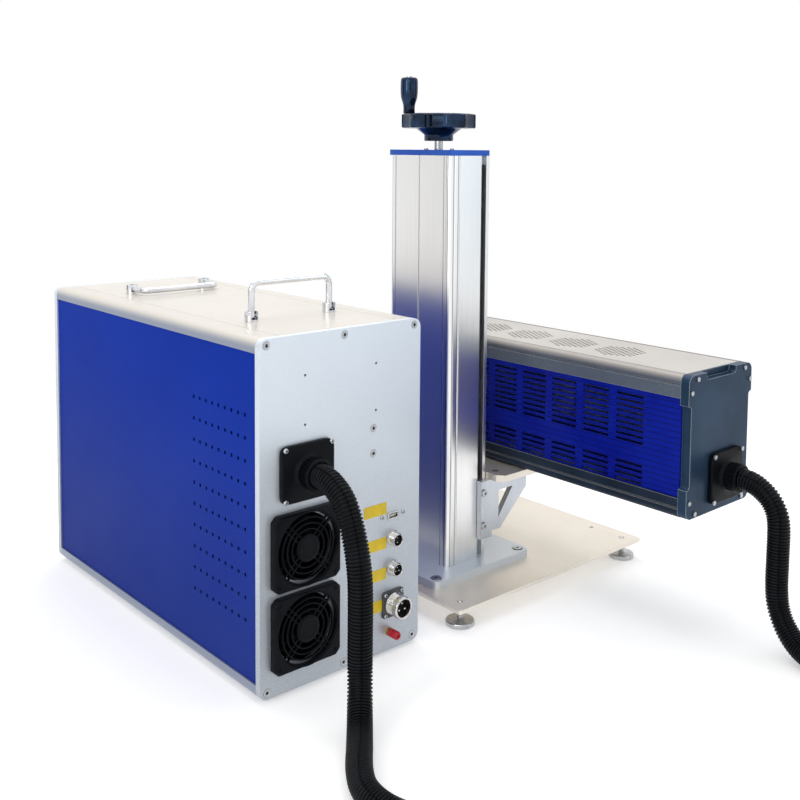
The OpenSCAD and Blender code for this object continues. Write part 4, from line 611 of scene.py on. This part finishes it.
screws = [sunk_screw((PLATE_X + x, y, z), facing) for y, facing in ((REAR_Y, "+Y"), (FRONT_Y, "-Y"))
          for x in (-PLATE_HALF, 0.0, PLATE_HALF) for z in PLATE_SCREW_Z]
screws += [sunk_screw((SPARE_SCREW_X, REAR_Y, z), "+Y") for z in SPARE_SCREW_Z]
screws += [pan_screw((GLAND_X + x, REAR_Y + GLAND_T, GLAND_Z + z), "+Y", 2.9, 1.9) for x, z in GLAND_SCREWS]
screws += [pan_screw((PORT_X + x, REAR_Y + POWER_FLANGE_T, POWER_Z + z), "+Y", 2.4, 1.5)
           for x in (-POWER_SCREW, POWER_SCREW) for z in (-POWER_SCREW, POWER_SCREW)]
screws += [pan_screw((PORT_X + x, REAR_Y, DATA_Z), "+Y", 2.6, 1.6) for x in (-DATA_SCREW_X, DATA_SCREW_X)]
heads = surface("cabinet_screw_heads", screws, shade_hollowed_zinc, "stand", sharp=25.0)
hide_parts("cabinet_screws")


# Fans: two axial fans behind moulded grilles, four rings and double spokes round a plain hub. The
# frame's rim is chamfered, and catches a pale line of light along its top.
FAN_X = 270.0
FAN_Z = (163.0, 71.5)
FAN_SCREWS = [(x, z) for x in (-38.0, 38.0) for z in (-36.0, 36.0)]
COVER_T = 9.0
RING_RADII = (21.5, 27.9, 34.3, 40.7)
SPOKE_TURNS = (45.0, 135.0, 225.0, 315.0)
SPOKE_REACH = (14.5, 42.0)
SPOKE_GAP = 3.0
SPOKE_Y = 5.2


def chamfered(half_width, half_height, cut):
    """Outline of a rectangle with cut corners: the least of half width over cosine, half height over sine,
    and both halves less the cut over cosine plus sine."""
    def radius(a):
        c, s = np.maximum(np.abs(np.cos(a)), 1e-6), np.maximum(np.abs(np.sin(a)), 1e-6)
        bevel = (half_width + half_height - cut) / (c + s)
        return np.minimum(np.minimum(half_width / c, half_height / s), bevel)
    return radius


def hoop(at, facing, radius, half_width, half_height, height, count=96):
    """A ring with an oval section, whose height goes with the sine and its radius with the cosine."""
    t = np.linspace(0.0, 2.0 * np.pi, 13)
    rows = list(zip(height + half_height * np.sin(t), radius + half_width * np.cos(t)))
    return turned(at, facing, rows, count, ends=False)


def beam(start, end, out, half_width, half_height):
    """A straight bar with a square section between two places. Out is the way that its top faces."""
    start, end, out = (np.array(v, float) for v in (start, end, out))
    side = unit(np.cross(end - start, out)) * half_width
    top = unit(out) * half_height
    loop = np.array([side + top, side - top, -side - top, -side + top, side + top])
    return closed_ends(np.stack([start + loop, end + loop]))


def grille(at):
    """Frame, rings, spokes and hub of one fan cover."""
    outer, inner = chamfered(45.0, 42.5, 6.0), chamfered(43.2, 40.7, 5.6)
    frame_rows = [(0.0, outer), (6.8, outer), (COVER_T, inner), (COVER_T, 41.9), (8.2, 41.4), (0.0, 41.4),
                  (0.0, outer)]
    hub_rows = [(3.0, 15.5), (7.4, 15.5), (8.3, 14.8), (8.6, 13.6), (8.6, 10.5), (8.2, 10.0)]
    sheets = [turned(at, "+Y", frame_rows, 192, ends=False)]
    sheets += [hoop(at, "+Y", radius, 1.15, 1.9, 6.2) for radius in RING_RADII]
    sheets.append(turned(at, "+Y", hub_rows))
    for turn in np.radians(SPOKE_TURNS):
        way = np.array([np.cos(turn), 0.0, np.sin(turn)])
        side = np.array([-way[2], 0.0, way[0]]) * SPOKE_GAP
        for shift in (-side, side):
            middle = np.add(at, (0.0, SPOKE_Y, 0.0)) + shift
            inside, outside = (middle + way * reach for reach in SPOKE_REACH)
            sheets.append(beam(inside, outside, (0, 1, 0), 0.8, 1.5))
    return sheets


grilles = surface("fan_grilles", [sheet for z in FAN_Z for sheet in grille((FAN_X, REAR_Y, z))],
                  moulded, "stand", sharp=30.0)
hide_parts("fan_covers")
cover_screws = [pan_screw((FAN_X + x, REAR_Y + COVER_T, middle + z), "+Y", 2.6, 1.0)
                for middle in FAN_Z for x, z in FAN_SCREWS]
surface("fan_cover_screws", cover_screws, moulded, "stand")
dress(moulded, "fan_frames", "fan_rotor_upper", "fan_rotor_lower")

# Sockets: nickel plated shells with a thread, black inserts and bright pins. Two round ones for control
# leads, one wide one for power on a grey square flange, and a port for a data lead at the top.
ROUND_SOCKETS = ((140.0, 2), (104.0, 3))
nickel = Finish("nickel_plate", metal=1.0)
nickel.mottle(7.0, tone(212, 210, 205), tone(184, 184, 184), detail=3.0)
nickel.feed("Roughness", 0.14 + 0.12 * nickel.spots(3.0))
nickel.relief(nickel.spots(0.6), 0.015, 0.3)
insert_black = Finish("insert_phenolic", rough=0.4, gloss=0.15)
insert_black.mottle(4.0, tone(10, 11, 14), tone(24, 25, 29))
insert_black.relief(insert_black.spots(0.6), 0.04, 0.3)


def thread(low, high, radius, pitch=1.0, depth=0.45):
    """Rows of a thread between two heights: at every second half pitch the radius is less by the depth."""
    steps = np.arange(low, high + 1e-6, pitch / 2.0)
    return [(h, radius - depth * (i % 2)) for i, h in enumerate(steps)]


def shell(at, flange, radius, out, bore):
    """A threaded barrel on a round flange, bored from the front."""
    foot = [(0.0, flange), (1.6, flange), (2.0, flange - 0.5), (2.0, radius + 0.2)]
    mouth = [(out - 1.4, radius - 0.3), (out - 0.4, radius - 0.3), (out, radius - 0.8), (out, bore + 0.4),
             (out - 0.5, bore), (2.2, bore)]
    return turned(at, "+Y", foot + thread(2.4, out - 1.6, radius) + mouth, 64)


def core(at, radius, height):
    """The insert that fills a barrel up to a height."""
    return turned(at, "+Y", [(2.4, radius), (height - 0.5, radius), (height, radius - 0.5)], 48)


def pins(at, ring, count, low, high, radius, first=90.0):
    """Round pins evenly on a ring."""
    turns = np.radians(first + 360.0 * np.arange(count) / count)
    return [turned(np.add(at, (ring * np.cos(t), 0.0, ring * np.sin(t))), "+Y",
                   [(low, radius), (high - 0.5, radius), (high, radius * 0.5)], 16) for t in turns]


shells, cores = [], []
for z, count in ROUND_SOCKETS:
    place = (PORT_X, REAR_Y, z)
    shells += [shell(place, 9.5, 7.9, 11.0, 6.3)] + pins(place, 2.9, count, 5.0, 9.4, 0.75)
    cores.append(core(place, 6.25, 6.6))
tongue = oblong(5.0, 0.55, 20.0)
mouth, lip = oblong(6.1, 2.4, 16.0), oblong(6.5, 2.8, 16.0)
rim, crown = oblong(8.5, 4.5, 14.0), oblong(8.1, 4.1, 14.0)
lined, hollowed = oblong(6.05, 2.35, 16.0), oblong(5.7, 2.0, 16.0)
place = (PORT_X, REAR_Y, DATA_Z)
port_rows = [(0.0, rim), (1.5, rim), (2.0, crown), (2.0, lip), (1.6, mouth), (-8.0, mouth)]
shells.append(turned(place, "+Y", port_rows, 96))
shells.append(turned((PORT_X, REAR_Y, DATA_Z + 0.7), "+Y", [(-7.0, tongue), (0.8, tongue)], 64))
cores.append(turned(place, "+Y", [(-7.9, lined), (1.7, lined), (1.7, hollowed), (-7.4, hollowed)], 96))
data_shells = surface("data_socket_shells", shells, nickel, "stand", sharp=30.0)
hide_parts("data_sockets")
surface("data_socket_inserts", cores, insert_black, "stand")

place = (PORT_X, REAR_Y, POWER_Z)
square, eased_square = oblong(16.0, 16.0, 12.0), oblong(15.4, 15.4, 12.0)
flange_grey = Finish("socket_flange", metal=0.6, rough=0.42)
flange_grey.mottle(5.0, tone(86, 88, 90), tone(68, 70, 73))
flange_grey.relief(flange_grey.spots(0.6), 0.03, 0.4)
flange_rows = [(0.0, square), (2.6, square), (POWER_FLANGE_T, eased_square), (POWER_FLANGE_T, 12.0)]
surface("power_socket_flange", [turned(place, "+Y", flange_rows, 96)], flange_grey, "stand")
collar_rows = [(14.4, 13.0), (15.0, 13.5), (20.6, 13.5), (21.6, 13.0), (22.0, 12.2), (22.0, 10.9),
               (21.4, 10.5), (4.0, 10.5)]
barrel_rows = [(1.0, 13.3), (4.5, 13.3), (4.9, 12.6)] + thread(5.2, 14.0, 12.7, 1.4, 0.55) + collar_rows
power_parts = [turned(place, "+Y", barrel_rows, 72)] + pins(place, 5.2, 3, 8.0, 18.5, 1.3)
power_shell = surface("power_socket_shell", power_parts, nickel, "stand", sharp=30.0)
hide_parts("power_socket")
surface("power_socket_insert", [core(place, 10.4, 11.5)], insert_black, "stand")

# Earth post: brass stem on the rear plate with a red moulded cap that unscrews. The cap's end is bored
# for a plug.
EARTH_CAP = (146.0, 157.3, 27.0)
brass = Finish("brass_bar", metal=1.0)
brass.mottle(4.0, tone(204, 170, 96), tone(176, 142, 78), detail=3.0)
brass.feed("Roughness", 0.2 + 0.15 * brass.spots(2.0))
dress(brass, "earth_post")
red_moulding = Finish("red_moulding", rough=0.3, gloss=0.3)
red_moulding.mottle(8.0, tone(204, 46, 62), tone(178, 34, 52))
red_moulding.relief(red_moulding.spots(0.8), 0.03, 0.5)
cap_rows = [(0.0, 4.0), (0.6, 4.9), (1.2, 5.0), (3.6, 5.0), (4.2, 4.3), (5.0, 4.3), (5.6, 5.0), (12.6, 5.0),
            (13.6, 4.4), (14.0, 3.4), (14.0, 2.3), (13.6, 2.0), (6.0, 2.0)]
cap = surface("earth_cap_moulding", [turned(EARTH_CAP, "+Y", cap_rows, 48)], red_moulding, "earth_nut")
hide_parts("earth_cap")

# Port labels: four pieces of yellow foil, stuck on the rear plate beside the sockets. They are left
# blank.
foil = Finish("yellow_foil", rough=0.36, gloss=0.5)
foil.mottle(18.0, tone(240, 208, 34), tone(226, 192, 26), 0.3, 0.75, detail=3.0)
foil.relief(foil.spots(1.0), 0.02, 0.2)
dress(foil, "port_labels")

# Front controls: a mushroom stop button in a yellow ring, a key switch and a lit power button, each
# held in the front plate by its own thread.
yellow_moulding = Finish("yellow_moulding", rough=0.34)
yellow_moulding.mottle(14.0, tone(236, 196, 24), tone(220, 180, 20), 0.3, 0.7)
yellow_moulding.relief(yellow_moulding.spots(1.0), 0.03, 0.5)
dress(yellow_moulding, "stop_switch")
dress(red_moulding, "stop_button")
dress(nickel, "key_switch", "key", "power_switch")
lit_green = Finish("lit_green", rough=0.25, coat=0.6, coat_rough=0.1)
lit_green.mottle(5.0, tone(40, 170, 84), tone(28, 146, 70), 0.3, 0.7)
lit_green.relief(lit_green.spots(0.8), 0.02, 0.4)
dress(lit_green, "power_button")


# Base plate, shelf, column foot, bracket and column top: milled aluminium, satin anodised, the top in
# blue. Milling leaves faint lines along each of them.
LINE_RUN = 300.0


def anodised(name, first, second, rough, way, metal=1.0):
    """Satin anodised aluminium with fine lines along one axis."""
    made = Finish(name, metal=metal)
    lines = made.spots(0.35, [LINE_RUN if axis == way else 1.0 for axis in "XYZ"], detail=3.0)
    clouds = made.eased(made.spots(70.0, detail=3.0), 0.3, 0.7)
    made.tint(0.5 * clouds + 0.5 * made.eased(lines, 0.35, 0.65), first, second)
    made.feed("Roughness", rough + 0.12 * lines)
    return made.relief(lines, 0.003, 0.7)


plate_alu = anodised("plate_anodised", tone(242, 234, 222), tone(232, 224, 212), 0.34, "Y", metal=0.8)
foot_alu = anodised("foot_anodised", tone(234, 240, 246), tone(220, 228, 236), 0.32, "X", metal=0.5)
bracket_alu = anodised("bracket_anodised", tone(206, 210, 216), tone(186, 191, 198), 0.30, "Z")
blue_alu = anodised("blue_anodised", tone(58, 104, 196), tone(42, 82, 178), 0.30, "X", metal=0.8)
dress(plate_alu, "base_plate", "shelf")
dress(foot_alu, "column_foot", "end_blocks")
dress(bracket_alu, "carriage", "bracket")
dress(blue_alu, "column_top")

# Column: a hollow profile with its cover, extruded with shallow grooves along it, two on each side of
# both faces' middle lines, which are painted darker as shade. Drawing leaves fine lines between them.
COLUMN_X, COLUMN_Y = -52.0, 24.0
GROOVES_X = (30.0, 22.0)
GROOVES_Y = (55.0, 48.0)
DRAWN_SHARE = 0.04
column_alu = Finish("column_anodised", metal=1.0)
from_x = column_alu.gap(abs(column_alu.part("X") - COLUMN_X), *GROOVES_X)
from_y = column_alu.gap(abs(column_alu.part("Y") - COLUMN_Y), *GROOVES_Y)
furrow = column_alu.eased(from_y.worked("MINIMUM", from_y, from_x), 0.3, 1.0)
drawn = column_alu.spots(0.35, (1.0, 1.0, 400.0), detail=3.0)
face = column_alu.blended(column_alu.eased(drawn, 0.35, 0.65), tone(251, 250, 248), tone(240, 240, 239))
# Painted shade: the grooves are painted a darker grey than the faces.
column_alu.tint(furrow, tone(150, 154, 162), face)
column_alu.feed("Roughness", 0.26 + 0.12 * drawn)
column_alu.relief((1.0 - DRAWN_SHARE) * furrow + DRAWN_SHARE * drawn, 0.10, 0.7)
dress(column_alu, "column_profile", "column_cover")

# Guide rods and screw: hardened steel, ground and polished, thinly oiled. They stand in the column
# between its two end blocks.
ground = Finish("ground_steel", metal=1.0)
streaks = ground.eased(ground.spots(0.5, (1.0, 1.0, 60.0)), 0.35, 0.65)
ground.tint(streaks, tone(182, 184, 188), tone(160, 163, 168))
ground.feed("Roughness", 0.12 + 0.10 * ground.spots(6.0))
ground.relief(ground.spots(0.3, (1.0, 1.0, 80.0)), 0.01, 0.4)
dress(ground, "guide_rods", "lead_screw")

# Levelling feet: a zinc plated steel disc on a threaded stud, locked by a nut under the base plate. One
# stands at each of its corners.
BASE_X, BASE_Y = -141.0, -75.0
FOOT_X, FOOT_Y = 168.0, 230.0
FEET = [(BASE_X + x, BASE_Y + y) for x in (-FOOT_X, FOOT_X) for y in (-FOOT_Y, FOOT_Y)]


def foot(x, y):
    """Disc, stud with its thread, and nut."""
    place = (x, y, 0.0)
    disc = [(0.0, 17.0), (0.5, 18.2), (1.2, 18.5), (5.4, 18.5), (6.4, 17.9), (7.0, 16.6), (7.4, 13.0),
            (8.0, 7.5), (8.6, 6.0)]
    stud = [(7.5, 3.8)] + thread(8.0, 27.5, 4.0, 1.25, 0.5) + [(28.2, 3.6), (29.4, 2.6), (30.0, 1.2)]
    nut = [(18.9, 4.0), (18.9, 6.4), (19.5, hexagon(6.5)), (23.4, hexagon(6.5)), (24.0, 6.4), (24.0, 4.0)]
    return [turned(place, "+Z", disc, 64), turned(place, "+Z", stud, 32), turned(place, "+Z", nut, 72)]


feet_sheets = [sheet for x, y in FEET for sheet in foot(x, y)]
feet = surface("levelling_feet_turned", feet_sheets, zinc, "stand", sharp=28.0)
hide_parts("levelling_feet")

# Handwheel: phenolic moulding, polished black, with twelve scallops round its rim and a dished web. It
# is fixed on the screw's end. The turning grip stands on it on a steel pin.
WHEEL = (-51.0, 24.0, 0.0)
GRIP = (-20.1, -2.9, 0.0)


def scalloped(radius, depth, soft):
    """Outline with twelve scallops: the radius less the depth times the root of the sine of six times the
    angle, with a little added under the root that softens the crests."""
    return lambda a: radius - depth * np.sqrt(np.abs(np.sin(6.0 * a)) + soft)


rim, rim_edge = scalloped(52.2, 3.4, 0.003), scalloped(50.6, 3.0, 0.01)
wheel_rows = [(612.5, 7.0), (612.5, 18.8), (613.4, 20.0), (620.5, 20.0), (621.6, 20.8), (628.4, 30.0),
              (629.6, 32.0), (630.6, 36.0), (630.4, 43.0), (629.7, 46.5), (629.9, rim_edge), (631.4, rim),
              (647.4, rim), (648.9, rim_edge), (649.5, 46.6), (649.5, 44.4), (648.6, 43.0), (641.5, 39.5),
              (639.0, 36.0), (638.0, 30.0), (638.4, 22.0), (640.5, 17.5), (646.8, 15.0), (648.2, 14.0),
              (648.6, 12.0), (648.6, 5.0), (647.6, 4.6)]
wheel_black = Finish("polished_phenolic", gloss=0.45, metal=0.6)
# Painted reflection: the polished black is painted in navy clouds, standing in for bluish reflections.
wheel_black.mottle(16.0, tone(14, 30, 50), tone(28, 54, 84), 0.35, 0.75, detail=3.0)
wheel_black.feed("Roughness", 0.04 + 0.08 * wheel_black.spots(12.0, detail=4.0))
wheel_black.relief(wheel_black.spots(3.0), 0.02, 0.5)
wheel = surface("handwheel_moulding", [turned(WHEEL, "+Z", wheel_rows, 288)], wheel_black, "wheel",
                sharp=40.0)
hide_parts("handwheel")
grip_rows = [(649.6, 6.5), (649.8, 7.4), (650.6, 8.0), (657.0, 7.9), (661.0, 8.2), (664.5, 9.0),
             (668.0, 10.3), (672.0, 11.3), (677.0, 11.8), (684.0, 12.0), (692.0, 11.9), (695.6, 11.6),
             (697.4, 10.9), (698.3, 9.6), (698.8, 7.6), (699.0, 5.2), (698.6, 4.9)]
grip = surface("grip_moulding", [turned(GRIP, "+Z", grip_rows, 64)], wheel_black, "grip",
               sharp=60.0)
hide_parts("wheel_grip")
pin_rows = [(640.0, 3.0), (699.0, 3.0), (699.0, 4.3), (700.1, 4.3), (700.7, 3.6), (700.8, 2.6)]
surface("grip_pin_head", [turned(GRIP, "+Z", pin_rows, 32)], zinc, "wheel")


# Top panel of the arm: thin sheet with a warm grey powder coat, slid in between the upper rails. A dark
# seam shows along both of its sides, and the walls of its vent holes are painted near black as shade.
ARM_TOP_Z = 332.6
SEAM_FAR_X, SEAM_NEAR_X = -262.8, -147.6
arm_cream = Finish("arm_cream", gloss=0.3)
arm_x = arm_cream.part("X")
coat = arm_cream.clouds(120.0, tone(206, 201, 194), tone(196, 191, 186), 0.3, 0.7)
coat = arm_cream.blended(arm_x > SEAM_FAR_X, tone(60, 56, 54), coat)
coat = arm_cream.blended(arm_x < SEAM_NEAR_X, tone(140, 134, 128), coat)
# Painted shade: below the top face, the walls of the vent holes are near black.
arm_cream.tint(arm_cream.part("Z") > ARM_TOP_Z, tone(24, 23, 24), coat)
arm_cream.feed("Roughness", 0.34 + 0.08 * arm_cream.spots(40.0))
arm_cream.relief(arm_cream.spots(1.4), 0.006, 0.8)
dress(arm_cream, "arm_top")

# Rails of the arm: extruded aluminium at its four long edges. The upper ones run from the top's grey over
# a rounded shoulder, painted pale at its top and darker below as its light and shade, to a blasted band,
# the lower ones are slate, and all carry a painted highlight along their edges.
BAND_LOW = 300.0
BAND_TOP = 321.3
SHOULDER = (321.5, 332.5)
rail = Finish("arm_rail_coat", metal=0.25, gloss=0.2)
rail_z = rail.part("Z")
speck = rail.eased(rail.spots(0.9, detail=3.0), 0.45, 0.7)
band = rail.blended(speck, tone(84, 94, 108), tone(126, 135, 148))
slate = rail.clouds(60.0, tone(28, 40, 56), tone(40, 54, 72), 0.3, 0.7, detail=3.0)
lower = rail.blended(rail_z > BAND_LOW, slate, band)
# Painted light and shade on the rounded shoulder: pale at its top, darker towards the band.
shoulder_shade = rail.blended(rail.eased(rail_z, *SHOULDER), tone(84, 92, 106), tone(168, 163, 158))
whole = rail.blended(rail_z > BAND_TOP, lower, shoulder_shade)
# Painted highlight: a pale line along the sharp edges.
rail.tint(0.8 * rail.edges(1.4), whole, tone(176, 178, 182))
rail.feed("Roughness", 0.34 + 0.14 * rail.spots(1.2))
rail.relief(rail.spots(0.8), 0.02, 0.8)
dress(rail, "arm_rails")

# Side panels of the arm: rolled sheet with a saturated blue coat, slid into the rails, with slots for the
# air. Its fine creases, at the pitch of the slots, carry dark lines of painted shade.
CREASE_FIRST_Z = 181.3
CREASE_PITCH = 7.3
CREASE_W = 0.9
arm_blue = Finish("arm_blue_coat", gloss=0.10)
height = (arm_blue.part("Z") - CREASE_FIRST_Z) % CREASE_PITCH
crease = arm_blue.eased(height, 0.0, CREASE_W) - arm_blue.eased(height, CREASE_PITCH - CREASE_W, CREASE_PITCH)
blue = arm_blue.clouds(60.0, tone(6, 22, 138), tone(12, 34, 152), 0.3, 0.7, detail=3.0)
# Painted shade: the creases are painted dark blue.
arm_blue.tint(crease, tone(4, 8, 84), blue)
arm_blue.feed("Roughness", 0.30 + 0.12 * arm_blue.spots(14.0))
arm_blue.relief(crease, 0.25, 0.4)
dress(arm_blue, "arm_sides")

# Rear cover, front plate and floor of the arm: aluminium with a slate coat, with a painted highlight along
# the edges. Pan head screws hold the cover and the plate to the ends of the rails, and the floor lies
# between them.
slate_coat = Finish("slate_coat", metal=0.3, gloss=0.14)
slate_shade = slate_coat.clouds(70.0, tone(36, 56, 78), tone(46, 70, 94), 0.3, 0.7, detail=3.0)
# Painted highlight: pale lines along the sharp edges.
slate_coat.tint(0.7 * slate_coat.edges(1.4), slate_shade, tone(186, 200, 212))
slate_coat.feed("Roughness", 0.30 + 0.14 * slate_coat.spots(1.4))
slate_coat.relief(slate_coat.spots(0.9), 0.02, 1.1)
dress(slate_coat, "arm_bottom", "arm_rear_cover", "arm_front_plate")

# Laser tube: a finned aluminium housing inside the arm, grey anodised. It shows only through the slots
# and the vents.
tube_alu = anodised("tube_anodised", tone(150, 155, 162), tone(120, 126, 134), 0.30, "Y")
dress(tube_alu, "laser_tube")

# Scan head: black anodised housing with the round flat-field lens below, and two small mirrors on their
# motors inside.
head_black = Finish("head_anodised", metal=0.2, gloss=0.2)
head_black.mottle(24.0, tone(27, 28, 31), tone(38, 39, 43), detail=3.0)
head_black.feed("Roughness", 0.36 + 0.14 * head_black.spots(1.0))
head_black.relief(head_black.spots(0.6), 0.04, 0.8)
dress(head_black, "scan_head", "galvo_motors")
glass = Finish("coated_glass", clear=0.9, ior=1.5, gloss=0.6)
glass.mottle(20.0, tone(196, 214, 232), tone(206, 200, 228), 0.3, 0.7)
glass.feed("Roughness", 0.01 + 0.03 * glass.spots(6.0))
dress(glass, "scan_lens")
mirror = Finish("silvered_glass", metal=1.0)
mirror.mottle(6.0, tone(240, 242, 244), tone(230, 233, 237), 0.3, 0.7)
mirror.feed("Roughness", 0.01 + 0.02 * mirror.spots(4.0))
dress(mirror, "mirror_x", "mirror_y")
